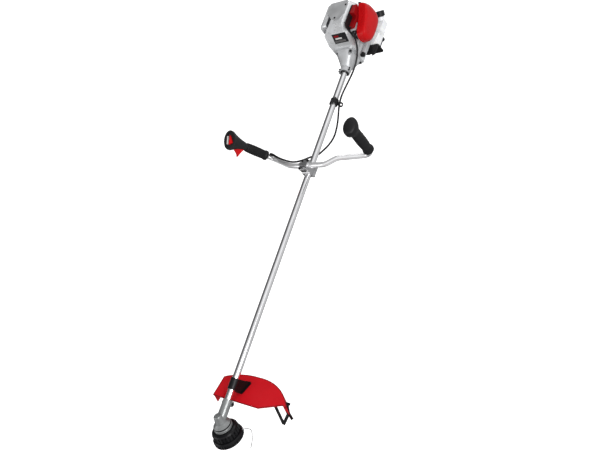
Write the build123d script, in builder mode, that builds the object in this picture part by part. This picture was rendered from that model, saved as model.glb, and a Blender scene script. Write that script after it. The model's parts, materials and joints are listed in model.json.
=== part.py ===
"""Petrol string trimmer with a straight shaft and a bull-horn handlebar.

Millimetres. +X is the operator's right, +Y runs forward along the shaft, +Z is up.
The origin is the centre of the harness eye, from which the machine hangs.
"""
import os
from math import cos, pi, radians, sin

from build123d import *

os.makedirs("parts", exist_ok=True)

# ---------------------------------------------------------------- driving dimensions
# The shaft axis is parallel to Y and passes this far right of and above the eye.
SHAFT_X, SHAFT_Z = 22, 20
TUBE_R, TUBE_WALL = 13, 1.5
TUBE_REAR, TUBE_FRONT = -190, 1324
DRIVE_R = 4
RUNNING = 0.05  # radial clearance of every running fit

# Stations along the shaft.
COLLAR_FRONT = -157  # mouth of the clutch housing
ENGINE_FACE = -246  # front face of the engine
FAN_REAR = -306  # joint between the fan cover and the rest of the engine
CASE_REAR = -388
ENGINE_REAR = -438
BAR_Y, BAR_Z = 338, 35  # handlebar centre, Z above the shaft axis
BRACKET_REAR, BRACKET_FRONT = 1221, 1263  # guard bracket
HUB_Y = 1378  # where the spindle axis crosses the shaft axis
HEAD_TILT = 60  # angle from the shaft to the spindle

# Cutting head and guard.
GEAR_TEETH, PINION_TEETH = 19, 14
HEAD_R, HEAD_RIM_R, HEAD_TOP, HEAD_BASE = 50, 57, 31, 86
SPINDLE_R = 5
LINE_R = 1.3
GUARD_TOP, GUARD_WALL, GUARD_SKIRT = -18, 3, 40

# Handlebar.
BAR_R, BAR_WALL = 11, 1.6
CABLE_R = 4.0

# ---------------------------------------------------------------- frames
RIGHT, FORWARD, UP = (1, 0, 0), (0, 1, 0), (0, 0, 1)
SPINDLE = (0, cos(radians(HEAD_TILT)), -sin(radians(HEAD_TILT)))
BACK = (0, -sin(radians(HEAD_TILT)), -cos(radians(HEAD_TILT)))
DOWN_SIDE = (0.52, 0.85 * BACK[1], 0.85 * BACK[2])  # across the line cutter's end blade
HUB = (SHAFT_X, HUB_Y, SHAFT_Z)


def point(x, y, z):
    """A place given from the shaft axis: X to the right, Y along it, Z above it."""
    return (SHAFT_X + x, y, SHAFT_Z + z)


def across(y, x=0, z=0):
    """Plane across the shaft: local x is right, local y is up, and it faces rearward."""
    return Plane(origin=point(x, y, z), x_dir=RIGHT, z_dir=(0, -1, 0))


def along(x=0, y=0, z=0):
    """Plane along the shaft: local x is forward, local y is up, and it faces right."""
    return Plane(origin=point(x, y, z), x_dir=FORWARD, z_dir=RIGHT)


def level(z=0, x=0, y=0):
    """Level plane: local x is right, local y is forward, and it faces up."""
    return Plane(origin=point(x, y, z), x_dir=RIGHT, z_dir=UP)


def head_point(x, back, down):
    """A place on the head: right, back toward the operator, and down the spindle."""
    return tuple(HUB[i] + x * RIGHT[i] + back * BACK[i] + down * SPINDLE[i] for i in range(3))


def head_plane(down, x=0, back=0):
    """Plane across the spindle: local x is right, local y is back, and it faces down."""
    return Plane(origin=head_point(x, back, down), x_dir=RIGHT, z_dir=SPINDLE)


SHAFT_AXIS = Axis(point(0, 0, 0), FORWARD)
SPINDLE_AXIS = Axis(HUB, SPINDLE)
SHAFT_SIDE = along()
SPINDLE_SIDE = Plane(origin=HUB, x_dir=SPINDLE, z_dir=RIGHT)  # local x down, local y out


def turn_profile(plane, outline, axis):
    """Turn a closed outline about an axis, adding to the open part."""
    with BuildSketch(plane) as profile:
        with BuildLine():
            Polyline(*outline, close=True)
        make_face()
    revolve(profile.sketch, axis=axis)


def strip(start, end, width, thickness, side):
    """A straight bar of rectangular section from one point to another."""
    run = Vector(*end) - Vector(*start)
    with BuildSketch(Plane(origin=start, x_dir=side, z_dir=run)) as section:
        Rectangle(width, thickness)
    extrude(section.sketch, amount=run.length)


def tube_path(points, share=0.45):
    """Straight runs joined by tangent arcs as large as the runs allow."""
    path = [Vector(*p) for p in points]
    radii = []
    for before, here, after in zip(path, path[1:], path[2:]):
        turn = radians((here - before).get_angle(after - here))
        shorter = min((here - before).length, (after - here).length)
        radii.append(share * shorter / (sin(turn / 2) / cos(turn / 2)))
    print("cable radii", [round(r) for r in radii])
    return FilletPolyline(*path, radius=radii)


# ---------------------------------------------------------------- shaft and drive line
with BuildPart() as shaft_tube:
    with BuildSketch(across(TUBE_REAR)):
        Circle(TUBE_R)
        Circle(TUBE_R - TUBE_WALL, mode=Mode.SUBTRACT)
    extrude(amount=TUBE_REAR - TUBE_FRONT)
shaft_tube.part.label = "shaft_tube"
export_step(shaft_tube.part, "parts/shaft_tube.step")

DRIVE_REAR, DRIVE_FRONT = -208, HUB_Y - 27
with BuildPart() as drive_shaft:
    with BuildSketch(across(DRIVE_REAR)):
        Circle(DRIVE_R)
    extrude(amount=DRIVE_REAR - DRIVE_FRONT)
drive_shaft.part.label = "drive_shaft"
export_step(drive_shaft.part, "parts/drive_shaft.step")

DRUM_R, DRUM_REAR, DRUM_WEB, BOSS_R, BOSS_FRONT = 31, -249, -224, 8, -191
with BuildPart() as clutch_drum:
    turn_profile(
        SHAFT_SIDE,
        (
            (BOSS_FRONT, DRIVE_R), (BOSS_FRONT, BOSS_R), (DRUM_WEB + 3, BOSS_R),
            (DRUM_WEB + 3, DRUM_R), (DRUM_REAR, DRUM_R), (DRUM_REAR, DRUM_R - 2),
            (DRUM_WEB, DRUM_R - 2), (DRUM_WEB, DRIVE_R),
        ),
        SHAFT_AXIS,
    )
clutch_drum.part.label = "clutch_drum"
export_step(clutch_drum.part, "parts/clutch_drum.step")

# Bevel pair: both pitch cones meet at the hub; each blank stands back a little from its cone.
PINION_CONE, GEAR_CONE, BEVEL_GAP, TOOTH_DEPTH = 25.0, 35.0, 0.35, 1.6
UP_SPINDLE = tuple(-c for c in SPINDLE)


def bevel_blank(axis_dir, cone, near, far, hub_far, bore, teeth):
    """A toothed bevel blank on an axis through the hub, between two distances from it."""
    slope = sin(radians(cone)) / cos(radians(cone))
    near_r, far_r = near * slope - BEVEL_GAP, far * slope - BEVEL_GAP
    side = Plane(origin=HUB, x_dir=axis_dir, z_dir=RIGHT)
    outline = ((near, bore), (near, near_r), (far, far_r), (far, 6.2), (hub_far, 6.2), (hub_far, bore))
    turn_profile(side, outline, Axis(HUB, axis_dir))
    gap_width = 3.0 * far_r / teeth
    with BuildSketch(Plane(origin=side.from_local_coords((far, 0)), x_dir=RIGHT, z_dir=axis_dir)) as gaps:
        with PolarLocations(far_r, teeth):
            Rectangle(2 * TOOTH_DEPTH, gap_width)
    extrude(gaps.sketch, amount=near - far, mode=Mode.SUBTRACT)


with BuildPart() as bevel_pinion:
    bevel_blank((0, -1, 0), PINION_CONE, 14.0, 19.3, 27.0, 0, PINION_TEETH)
bevel_pinion.part.label = "bevel_pinion"
export_step(bevel_pinion.part, "parts/bevel_pinion.step")

with BuildPart() as bevel_gear:
    bevel_blank(UP_SPINDLE, GEAR_CONE, 11.8, 17.4, 21.0, SPINDLE_R, GEAR_TEETH)
bevel_gear.part.label = "bevel_gear"
export_step(bevel_gear.part, "parts/bevel_gear.step")

# ---------------------------------------------------------------- gear case
NECK_REAR, NECK_R = 1300, 17
CASE_TOP, CASE_BASE = -28, 18
UPPER_BEARING, LOWER_BEARING = (-26.5, -21.5, 11), (3, 12, 13)  # top, bottom, outer radius
with BuildPart() as gear_case:
    turn_profile(
        SPINDLE_SIDE,
        (
            (CASE_TOP, 0), (CASE_TOP, 13), (CASE_TOP + 3, 15.5), (-6, 19), (4, 21), (9, 27),
            (13, 33), (CASE_BASE, 33), (CASE_BASE, 0),
        ),
        SPINDLE_AXIS,
    )
    with BuildSketch(across(HUB_Y - 4)):
        Circle(18)
    with BuildSketch(across(NECK_REAR)):
        Circle(NECK_R)
    loft()
    # two clamp ears beside the tube
    with BuildSketch(along(-NECK_R - 6)):
        with Locations((NECK_REAR + 11, -6)):
            RectangleRounded(20, 13, 4)
    extrude(amount=2 * NECK_R + 12)
    # bores for the tube, the pinion, the gear, the spindle and its bearings
    with BuildSketch(across(NECK_REAR)):
        Circle(TUBE_R)
    extrude(amount=NECK_REAR - TUBE_FRONT, mode=Mode.SUBTRACT)
    with BuildSketch(across(TUBE_FRONT)):
        Circle(11.5)
    extrude(amount=TUBE_FRONT - HUB_Y + 8, mode=Mode.SUBTRACT)
    for top, bottom, radius in (
        UPPER_BEARING, (UPPER_BEARING[1], -8, 13.2), (-8, LOWER_BEARING[0], 10),
        LOWER_BEARING, (LOWER_BEARING[1], CASE_BASE, 8),
    ):
        with BuildSketch(head_plane(top)):
            Circle(radius)
        extrude(amount=bottom - top, mode=Mode.SUBTRACT)
    with BuildSketch(head_plane(CASE_TOP)):
        Circle(5)
    extrude(amount=UPPER_BEARING[0] - CASE_TOP, mode=Mode.SUBTRACT)
gear_case.part.label = "gear_case"
export_step(gear_case.part, "parts/gear_case.step")

with BuildPart() as grease_plug:
    with BuildSketch(head_plane(CASE_TOP)):
        Circle(8.5)
    extrude(amount=-3)
    with BuildSketch(head_plane(CASE_TOP)):
        Circle(5)
    extrude(amount=1.2)
    with BuildSketch(head_plane(CASE_TOP - 3)):
        Rectangle(12, 2)
    extrude(amount=1.6, mode=Mode.SUBTRACT)
grease_plug.part.label = "grease_plug"
export_step(grease_plug.part, "parts/grease_plug.step")

CASE_EAR = NECK_R + 6
with BuildPart() as output_spindle:
    with BuildSketch(head_plane(UPPER_BEARING[0])):
        Circle(SPINDLE_R)
    extrude(amount=46 - UPPER_BEARING[0])
output_spindle.part.label = "output_spindle"
export_step(output_spindle.part, "parts/output_spindle.step")

BUSH_LENGTH, BUSH_STATIONS = 14, (-120, 160, 440, 720, 1000, 1270)
BALL_R, BALL_WIDTH = 15, 9  # ball bearing of the clutch drum
with BuildPart() as shaft_bearings:
    for station in BUSH_STATIONS:
        with BuildSketch(across(station)):
            Circle(TUBE_R - TUBE_WALL)
            Circle(DRIVE_R + RUNNING, mode=Mode.SUBTRACT)
        extrude(amount=BUSH_LENGTH)
    for top, bottom, radius in (UPPER_BEARING, LOWER_BEARING):
        with BuildSketch(head_plane(top)):
            Circle(radius)
            Circle(SPINDLE_R + RUNNING, mode=Mode.SUBTRACT)
        extrude(amount=bottom - top)
    with BuildSketch(across(BOSS_FRONT - 2)):
        Circle(BALL_R)
        Circle(BOSS_R + RUNNING, mode=Mode.SUBTRACT)
    extrude(amount=BALL_WIDTH)
shaft_bearings.part.label = "shaft_bearings"
export_step(shaft_bearings.part, "parts/shaft_bearings.step")

# ---------------------------------------------------------------- bump-feed head
with BuildPart() as flange_holders:
    turn_profile(SPINDLE_SIDE, ((19, 5), (19, 32), (21, 35), (24, 35), (24, 5)), SPINDLE_AXIS)
    turn_profile(
        SPINDLE_SIDE, ((24, 5), (24, 31), (25.5, 31), (25.5, 35), (29, 35), (HEAD_TOP, 32), (HEAD_TOP, 5)),
        SPINDLE_AXIS,
    )
flange_holders.part.label = "flange_holders"
export_step(flange_holders.part, "parts/flange_holders.step")

EYELET_TURN, EYELET_DOWN, EYELET_R = 133, 71, 4
with BuildPart() as head_housing:
    turn_profile(
        SPINDLE_SIDE,
        (
            (HEAD_TOP, 5), (HEAD_TOP, 40), (34, 46), (38, 49.5), (58, 50.5), (60, 48.5), (63, 48.5),
            (63, 45.5), (37, 45.5), (36, 44), (36, 10), (46, 10), (46, 5),
        ),
        SPINDLE_AXIS,
    )
head_housing.part.label = "head_housing"
export_step(head_housing.part, "parts/head_housing.step")


def eyelet_plane(turn, out):
    """Plane across an eyelet, this far out from the spindle, facing outward."""
    away = Vector(*RIGHT) * cos(radians(turn)) + Vector(*BACK) * sin(radians(turn))
    origin = Vector(*head_point(0, 0, EYELET_DOWN)) + away * out
    return Plane(origin=origin, x_dir=SPINDLE, z_dir=away)


EYELETS = (EYELET_TURN, EYELET_TURN + 180)
with BuildPart() as head_cover:
    turn_profile(
        SPINDLE_SIDE,
        (
            (63, 45.5), (63, 52), (66, 56), (69, HEAD_RIM_R), (82, HEAD_RIM_R), (HEAD_BASE, 53),
            (HEAD_BASE, 28.5), (83, 28.5), (83, 50), (80, 53), (69, 53), (66, 50), (66, 45.5),
        ),
        SPINDLE_AXIS,
    )
    for turn in EYELETS:
        with BuildSketch(eyelet_plane(turn, 48)):
            Circle(EYELET_R)
        extrude(amount=14, mode=Mode.SUBTRACT)
head_cover.part.label = "head_cover"
export_step(head_cover.part, "parts/head_cover.step")

with BuildPart() as line_eyelets:
    for turn in EYELETS:
        with BuildSketch(eyelet_plane(turn, 52)):
            Circle(EYELET_R)
            Circle(LINE_R + 1, mode=Mode.SUBTRACT)
        extrude(amount=6.5)
line_eyelets.part.label = "line_eyelets"
export_step(line_eyelets.part, "parts/line_eyelets.step")

with BuildPart() as line_spool:
    turn_profile(
        SPINDLE_SIDE, ((41, 13), (41, 43), (43, 43), (43, 22), (78, 22), (78, 43), (80, 43), (80, 13)),
        SPINDLE_AXIS,
    )
    # the line wound on it
    turn_profile(SPINDLE_SIDE, ((43, 22), (43, 37), (78, 37), (78, 22)), SPINDLE_AXIS)
line_spool.part.label = "line_spool"
export_step(line_spool.part, "parts/line_spool.step")

with BuildPart() as bump_knob:
    turn_profile(SPINDLE_SIDE, ((80, 0), (80, 27), (98, 27), (102, 22), (103, 0)), SPINDLE_AXIS)
bump_knob.part.label = "bump_knob"
export_step(bump_knob.part, "parts/bump_knob.step")

SPRING_TOP, SPRING_BASE, SPRING_R = 47, 75, 10
with BuildPart() as bump_spring:
    with BuildLine() as coil:
        Helix(
            pitch=5.5, height=SPRING_BASE - SPRING_TOP, radius=SPRING_R, center=head_point(0, 0, SPRING_TOP),
            direction=SPINDLE,
        )
    with BuildSketch(Plane(origin=coil.line @ 0, z_dir=coil.line % 0)):
        Circle(0.8)
    sweep(is_frenet=True)
bump_spring.part.label = "bump_spring"
export_step(bump_spring.part, "parts/bump_spring.step")

# The free line, from its eyelet out and forward round the head.
LINE_ROUTE = (
    head_point(-38.9, 41.7, EYELET_DOWN), head_point(-60, 53, EYELET_DOWN), head_point(-82, 47, EYELET_DOWN),
    head_point(-99, 28, EYELET_DOWN), head_point(-116, 8, EYELET_DOWN + 2),
    head_point(-128, -16, EYELET_DOWN + 4),
)
with BuildPart() as trimmer_line:
    with BuildLine() as route:
        tube_path(LINE_ROUTE)
    with BuildSketch(Plane(origin=route.line @ 0, z_dir=route.line % 0)):
        Circle(LINE_R)
    sweep()
trimmer_line.part.label = "trimmer_line"
export_step(trimmer_line.part, "parts/trimmer_line.step")
LINE_LENGTH = route.wires()[0].length
print("trimmer line length", round(LINE_LENGTH), "volume ratio",
      round(trimmer_line.part.volume / (LINE_LENGTH * pi * LINE_R**2), 4))

# ---------------------------------------------------------------- guard and its bracket
def plate_point(back, down):
    """A place on the shaft's side plane, forward and up, given on the head's own directions."""
    x, y, z = head_point(0, back, down)
    return (y, z - SHAFT_Z)


# The bracket is a collar round the tube with a leg that stands on the guard's plate.
COLLAR_OUT, LEG_HALF, FOOT_HALF, FOOT_T = 16.5, 10, 15, 4
FOOT_REAR, FOOT_FRONT = 180, 120
LEG_BOLTS = [(BRACKET_REAR + 10, -27), (BRACKET_FRONT - 10, -27)]
FOOT_BOLTS = [(0, FOOT_FRONT + 14), (0, FOOT_REAR - 14)]
with BuildPart() as guard_bracket:
    with BuildSketch(across(BRACKET_FRONT)):
        Circle(COLLAR_OUT)
    extrude(amount=BRACKET_FRONT - BRACKET_REAR)
    with BuildSketch(along(-LEG_HALF)):
        with BuildLine():
            Polyline(
                (BRACKET_REAR, 0), (BRACKET_FRONT, 0), plate_point(FOOT_FRONT, GUARD_TOP),
                plate_point(FOOT_REAR, GUARD_TOP), close=True,
            )
        make_face()
    extrude(amount=2 * LEG_HALF)
    with BuildSketch(head_plane(GUARD_TOP)):
        with Locations((0, (FOOT_REAR + FOOT_FRONT) / 2)):
            RectangleRounded(2 * FOOT_HALF, FOOT_REAR - FOOT_FRONT, 6)
    extrude(amount=-FOOT_T)
    with BuildSketch(across(BRACKET_FRONT + 5)):
        Circle(TUBE_R)
        with Locations((0, -20)):
            Rectangle(0.8, 40)
    extrude(amount=BRACKET_FRONT - BRACKET_REAR + 15, mode=Mode.SUBTRACT)
guard_bracket.part.label = "guard_bracket"
export_step(guard_bracket.part, "parts/guard_bracket.step")

# The guard: a plate across the spindle, straight in front and round behind, a low rib across it
# and a skirt round the outer edge.
GUARD_OUTLINE = ((111, 84), (-128, 82), (-216, 121), (-240, 112))
OUTER_MID, OUTER_TURN, OUTER_NEXT, OUTER_CORNER = (-150, 185), (-24, 212), (60, 206), (136, 178)
RIB_X, RIB_WIDTH, RIB_RISE = 62, 5, 4
with BuildPart() as guard:
    with BuildSketch(head_plane(GUARD_TOP)) as plate:
        with BuildLine():
            Polyline(*GUARD_OUTLINE)
            ThreePointArc(GUARD_OUTLINE[-1], OUTER_MID, OUTER_TURN)
            ThreePointArc(OUTER_TURN, OUTER_NEXT, OUTER_CORNER)
            Line(OUTER_CORNER, GUARD_OUTLINE[0])
        make_face()
    extrude(amount=GUARD_WALL)
    with BuildSketch(head_plane(GUARD_TOP)):
        with Locations((RIB_X, 140)):
            Rectangle(RIB_WIDTH, 108)
    extrude(amount=-RIB_RISE)
    # skirt: the outline shrunk by the wall, kept away from the straight front edge
    with BuildSketch(head_plane(GUARD_TOP)):
        add(plate.sketch_local)
        offset(amount=-GUARD_WALL, mode=Mode.SUBTRACT)
        with Locations((0, 55)):
            Rectangle(640, 66, mode=Mode.SUBTRACT)
        with Locations((-150, 83)):
            Rectangle(130, 90, mode=Mode.SUBTRACT)
    extrude(amount=GUARD_SKIRT)
guard.part.label = "guard"
export_step(guard.part, "parts/guard.step")

# Line cutter: a bent steel strip that hangs from the guard's left end.
CUTTER_TOP = GUARD_TOP + GUARD_WALL
CUTTER_TIP = head_point(-187, 110, 70)
with BuildPart() as line_cutter:
    strip(head_point(-155, 134, CUTTER_TOP), CUTTER_TIP, 11, 5, RIGHT)
    strip(head_point(-231, 116, 14), CUTTER_TIP, 11, 5, RIGHT)
    strip(head_point(-146, 132, CUTTER_TOP + 2.5), head_point(-234, 132, CUTTER_TOP + 2.5), 18, 5, BACK)
    strip(head_point(-231, 128, CUTTER_TOP), head_point(-231, 112, 20), 10, 5, RIGHT)
    strip(head_point(-226, 122, 14), head_point(-262, 100, 12), 10, 4, DOWN_SIDE)
    add(guard.part, mode=Mode.SUBTRACT)
line_cutter.part.label = "line_cutter"
export_step(line_cutter.part, "parts/line_cutter.step")

# ---------------------------------------------------------------- harness clamp
# The shaft axis lies at (SHAFT_X, SHAFT_Z) from the eye; the eye's hole is square to that line.
EYE_R, EYE_RING_R, EYE_WIDTH = 6.5, 11, 8
TO_SHAFT = Vector(SHAFT_X, 0, SHAFT_Z).normalized()
EYE_FACING = Vector(-SHAFT_Z, 0, SHAFT_X).normalized()
CLAMP_LENGTH, CLAMP_R = 26, 18
EYE_PLANE = Plane(origin=EYE_FACING * (-EYE_WIDTH / 2), x_dir=TO_SHAFT, z_dir=EYE_FACING)
SHAFT_OUT = Vector(SHAFT_X, 0, SHAFT_Z).length
with BuildPart() as harness_clamp:
    with BuildSketch(across(CLAMP_LENGTH / 2)):
        Circle(CLAMP_R)
    extrude(amount=CLAMP_LENGTH)
    # a web from the clamp to the eye ring
    with BuildSketch(EYE_PLANE):
        with Locations((SHAFT_OUT / 2, 0)):
            Rectangle(SHAFT_OUT, 14)
        Circle(EYE_RING_R)
    extrude(amount=EYE_WIDTH)
    # bolt ears on the split, across from each other
    with BuildSketch(Plane(origin=point(0, 0, 0), x_dir=TO_SHAFT, z_dir=EYE_FACING)):
        with Locations((3, 0)):
            RectangleRounded(14, CLAMP_LENGTH, 3)
    extrude(amount=25, both=True)
    with BuildSketch(across(CLAMP_LENGTH / 2)):
        Circle(TUBE_R)
    extrude(amount=CLAMP_LENGTH, mode=Mode.SUBTRACT)
    with BuildSketch(EYE_PLANE):
        Circle(EYE_R)
    extrude(amount=EYE_WIDTH, mode=Mode.SUBTRACT)
    with BuildSketch(Plane(origin=Vector(*point(0, 0, 0)) + TO_SHAFT * 2.5, x_dir=FORWARD, z_dir=TO_SHAFT)):
        Rectangle(80, 80)
    extrude(amount=1, mode=Mode.SUBTRACT)
harness_clamp.part.label = "harness_clamp"
export_step(harness_clamp.part, "parts/harness_clamp.step")

# ---------------------------------------------------------------- handlebar and its clamp
RIGHT_CORNER, RIGHT_END = Vector(*point(279, 243, -38)), Vector(*point(333, 287, 194))
LEFT_CORNER, LEFT_END = Vector(*point(-279, 272, -16)), Vector(*point(-333, 302, 227))
BAR_INNER = 75  # the straight middle of the bar ends here on the right
BAR_STEP, BAR_DROP = (-104, BAR_Y, BAR_Z), (-152, BAR_Y - 29, BAR_Z - 3)  # the step on the left side
BAR_BENDS = (30, 200, 60, 60, 30)
BAR_ROUTE = (
    RIGHT_CORNER + (RIGHT_END - RIGHT_CORNER) * 0.62, RIGHT_CORNER, Vector(*point(BAR_INNER, BAR_Y, BAR_Z)),
    Vector(*point(*BAR_STEP)), Vector(*point(*BAR_DROP)), LEFT_CORNER, LEFT_CORNER + (LEFT_END - LEFT_CORNER) * 0.9,
)
with BuildPart() as handlebar:
    with BuildLine() as bar_line:
        FilletPolyline(*BAR_ROUTE, radius=BAR_BENDS)
    with BuildSketch(Plane(origin=bar_line.line @ 0, z_dir=bar_line.line % 0)):
        Circle(BAR_R)
        Circle(BAR_R - BAR_WALL, mode=Mode.SUBTRACT)
    sweep()
handlebar.part.label = "handlebar"
export_step(handlebar.part, "parts/handlebar.step")

BAR_PLAY = 0.05
BRACKET_HALF, SADDLE_HALF = 26, 21
with BuildPart() as clamp_saddle:
    with BuildSketch(along(-SADDLE_HALF)):
        with Locations((BAR_Y, 0)):
            RectangleRounded(2 * BRACKET_HALF, 38, 9)
        with Locations((BAR_Y, BAR_Z - 14)):
            RectangleRounded(42, 26, 4)
    extrude(amount=2 * SADDLE_HALF)
    with BuildSketch(across(BAR_Y + BRACKET_HALF)):
        Circle(TUBE_R)
    extrude(amount=2 * BRACKET_HALF, mode=Mode.SUBTRACT)
    with BuildSketch(along(-SADDLE_HALF)):
        with Locations((BAR_Y, BAR_Z)):
            Circle(BAR_R + BAR_PLAY)
    extrude(amount=2 * SADDLE_HALF, mode=Mode.SUBTRACT)
    with BuildSketch(level(BAR_Z - 0.5)):
        with Locations((0, BAR_Y)):
            Rectangle(80, 80)
    extrude(amount=30, mode=Mode.SUBTRACT)
    with BuildSketch(level(-1)):
        with Locations((0, BAR_Y)):
            Rectangle(80, 80)
    extrude(amount=1, mode=Mode.SUBTRACT)

with BuildPart() as clamp_cap:
    with BuildSketch(along(-SADDLE_HALF)):
        with Locations((BAR_Y, BAR_Z)):
            Circle(16)
        with Locations((BAR_Y, BAR_Z + 4.5)):
            RectangleRounded(46, 9, 3)
        with Locations((BAR_Y, BAR_Z)):
            Circle(BAR_R + BAR_PLAY, mode=Mode.SUBTRACT)
        with Locations((BAR_Y, BAR_Z - 20)):
            Rectangle(60, 41, mode=Mode.SUBTRACT)
    extrude(amount=2 * SADDLE_HALF)

with BuildPart() as handlebar_clamp:
    add(clamp_saddle.part)
    add(clamp_cap.part)
handlebar_clamp.part.label = "handlebar_clamp"
export_step(handlebar_clamp.part, "parts/handlebar_clamp.step")

CAP_BOLTS = [(x, BAR_Y + y) for x in (-14, 14) for y in (-18.2, 18.2)]
# Wing knob on the fourth cap bolt, which locks the bar's tilt.
KNOB_X, KNOB_Y = CAP_BOLTS[1]
WING_BASE = 16.8  # above the cap, so that the wings pass over it
with BuildPart() as clamp_knob:
    with BuildSketch(level(BAR_Z + 9.8, KNOB_X, KNOB_Y)):
        Circle(5.4)
    extrude(amount=8)
    with BuildSketch(level(BAR_Z + WING_BASE, KNOB_X, KNOB_Y)):
        RectangleRounded(34, 5, 2.4)
    extrude(amount=10)
clamp_knob.part.label = "clamp_knob"
export_step(clamp_knob.part, "parts/clamp_knob.step")

# ---------------------------------------------------------------- grips
GRIP_START, GRIP_LENGTH = 42, 206
GRIP_R, GRIP_COLLAR_R, GRIP_NECK_R = 19, 21.5, 15.5
GRIP_BORE = BAR_R


def grip_plane(corner, end, along_grip=0.0, inboard=1):
    """Plane across a grip: local x points inboard, and it faces the grip's free end."""
    axis = (end - corner).normalized()
    return Plane(origin=corner + axis * along_grip, x_dir=(-inboard, 0, 0), z_dir=axis)


RIGHT_PLANE = grip_plane(RIGHT_CORNER, RIGHT_END)
LEFT_PLANE = grip_plane(LEFT_CORNER, LEFT_END)
BAR_TOP_GAP = 12  # the left grip is closed for this length beyond the tube

# The flared end leans inboard and forward; its local x runs up the end and y outboard.
FLARE_S, FLARE_FACING, FLARE_UP = 230, (-0.22, 0.331, 0.917), (0.044, -0.929, 0.346)
END_PLANE = Plane(origin=RIGHT_PLANE.from_local_coords((0, 0, FLARE_S)), x_dir=FLARE_UP, z_dir=FLARE_FACING)
LOCKOUT_OUTLINE = ((22, -2), (-20, 2), (-13, -17))
# Trigger: a lever on a cross pin near the grip's free end; it is squeezed toward the grip.
TRIGGER_PIVOT_S, TRIGGER_PIVOT_F, TRIGGER_WIDTH, TRIGGER_PIN_R = 212, 17, 11, 2.5


def trigger_side(offset):
    """Plane down the throttle grip: local x toward its free end, local y to its front."""
    origin = RIGHT_PLANE.from_local_coords((offset, 0, 0))
    return Plane(origin=origin, x_dir=RIGHT_PLANE.z_dir, z_dir=RIGHT_PLANE.x_dir)


SLEEVE_END = 150
with BuildPart() as throttle_grip:
    with BuildSketch(RIGHT_PLANE.offset(GRIP_START)):
        Circle(GRIP_COLLAR_R)
    extrude(amount=11)
    with BuildSketch(RIGHT_PLANE.offset(GRIP_START + 11)):
        Circle(GRIP_R)
    extrude(amount=SLEEVE_END - GRIP_START - 11)
    neck = Plane(origin=RIGHT_PLANE.from_local_coords((0, 0, SLEEVE_END)), x_dir=FLARE_UP, z_dir=RIGHT_PLANE.z_dir)
    lean = (RIGHT_PLANE.z_dir + END_PLANE.z_dir).normalized()
    shoulder = Plane(origin=RIGHT_PLANE.from_local_coords((0, 0, 190)), x_dir=FLARE_UP, z_dir=lean)
    with BuildSketch(neck):
        Circle(GRIP_NECK_R + 1)
    with BuildSketch(shoulder):
        Ellipse(26, 19)
    with BuildSketch(END_PLANE):
        Ellipse(43, 29)
    loft()
    with BuildSketch(END_PLANE):
        Ellipse(43, 29)
    extrude(amount=10)
    # recess in the end face for the lock-out and the stop switch
    with BuildSketch(END_PLANE.offset(4)):
        Ellipse(35, 21)
    extrude(amount=6, mode=Mode.SUBTRACT)
    # well that the lock-out is pressed into
    with BuildSketch(END_PLANE.offset(-1)):
        with BuildLine():
            Polyline(*LOCKOUT_OUTLINE, close=True)
        make_face()
        offset(amount=0.5, kind=Kind.INTERSECTION)
    extrude(amount=6, mode=Mode.SUBTRACT)
    # slot in the front for the trigger
    with BuildSketch(RIGHT_PLANE.offset(160)):
        with Locations((0, -16)):
            Rectangle(13, 40)
    extrude(amount=62, mode=Mode.SUBTRACT)
    with BuildSketch(RIGHT_PLANE.offset(GRIP_START)):
        Circle(GRIP_BORE)
    extrude(amount=156 - GRIP_START, mode=Mode.SUBTRACT)
    with BuildSketch(trigger_side(-8)):
        with Locations((TRIGGER_PIVOT_S, TRIGGER_PIVOT_F)):
            Circle(TRIGGER_PIN_R)
    extrude(amount=16)
throttle_grip.part.label = "throttle_grip"
export_step(throttle_grip.part, "parts/throttle_grip.step")

with BuildPart() as left_grip:
    with BuildSketch(LEFT_PLANE.offset(GRIP_START)):
        Circle(GRIP_COLLAR_R + 1)
    extrude(amount=14)
    with BuildSketch(LEFT_PLANE.offset(GRIP_START + 14)):
        Circle(GRIP_R - 1)
    with BuildSketch(LEFT_PLANE.offset(196)):
        Circle(GRIP_R + 1)
    loft()
    with BuildSketch(LEFT_PLANE.offset(196)):
        Circle(GRIP_R + 1)
    with BuildSketch(LEFT_PLANE.offset(222)):
        Ellipse(26, 37)
    with BuildSketch(LEFT_PLANE.offset(240)):
        Ellipse(26, 37)
    with BuildSketch(LEFT_PLANE.offset(248)):
        Ellipse(17, 27)
    loft()
    with BuildSketch(LEFT_PLANE.offset(GRIP_START)):
        Circle(GRIP_BORE)
    extrude(amount=GRIP_LENGTH - BAR_TOP_GAP, mode=Mode.SUBTRACT)
left_grip.part.label = "left_grip"
export_step(left_grip.part, "parts/left_grip.step")

with BuildPart() as throttle_trigger:
    with BuildSketch(trigger_side(-TRIGGER_WIDTH / 2)):
        with BuildLine():
            Polyline((218, 18), (206, 12), (172, 14), (162, 19), (173, 38), (183, 58))
            Spline((183, 58), (194, 40), (210, 28), (218, 18))
        make_face()
        with Locations((TRIGGER_PIVOT_S, TRIGGER_PIVOT_F)):
            Circle(TRIGGER_PIN_R + RUNNING, mode=Mode.SUBTRACT)
    extrude(amount=TRIGGER_WIDTH)
throttle_trigger.part.label = "throttle_trigger"
export_step(throttle_trigger.part, "parts/throttle_trigger.step")

with BuildPart() as throttle_lockout:
    with BuildSketch(END_PLANE.offset(4.4)):
        with BuildLine():
            Polyline(*LOCKOUT_OUTLINE, close=True)
        make_face()
    extrude(amount=9)
throttle_lockout.part.label = "throttle_lockout"
export_step(throttle_lockout.part, "parts/throttle_lockout.step")

with BuildPart() as stop_switch:
    with BuildSketch(END_PLANE.offset(4.4)):
        with Locations((0, 10)):
            RectangleRounded(36, 6, 2)
    extrude(amount=7)
stop_switch.part.label = "stop_switch"
export_step(stop_switch.part, "parts/stop_switch.step")

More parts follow.
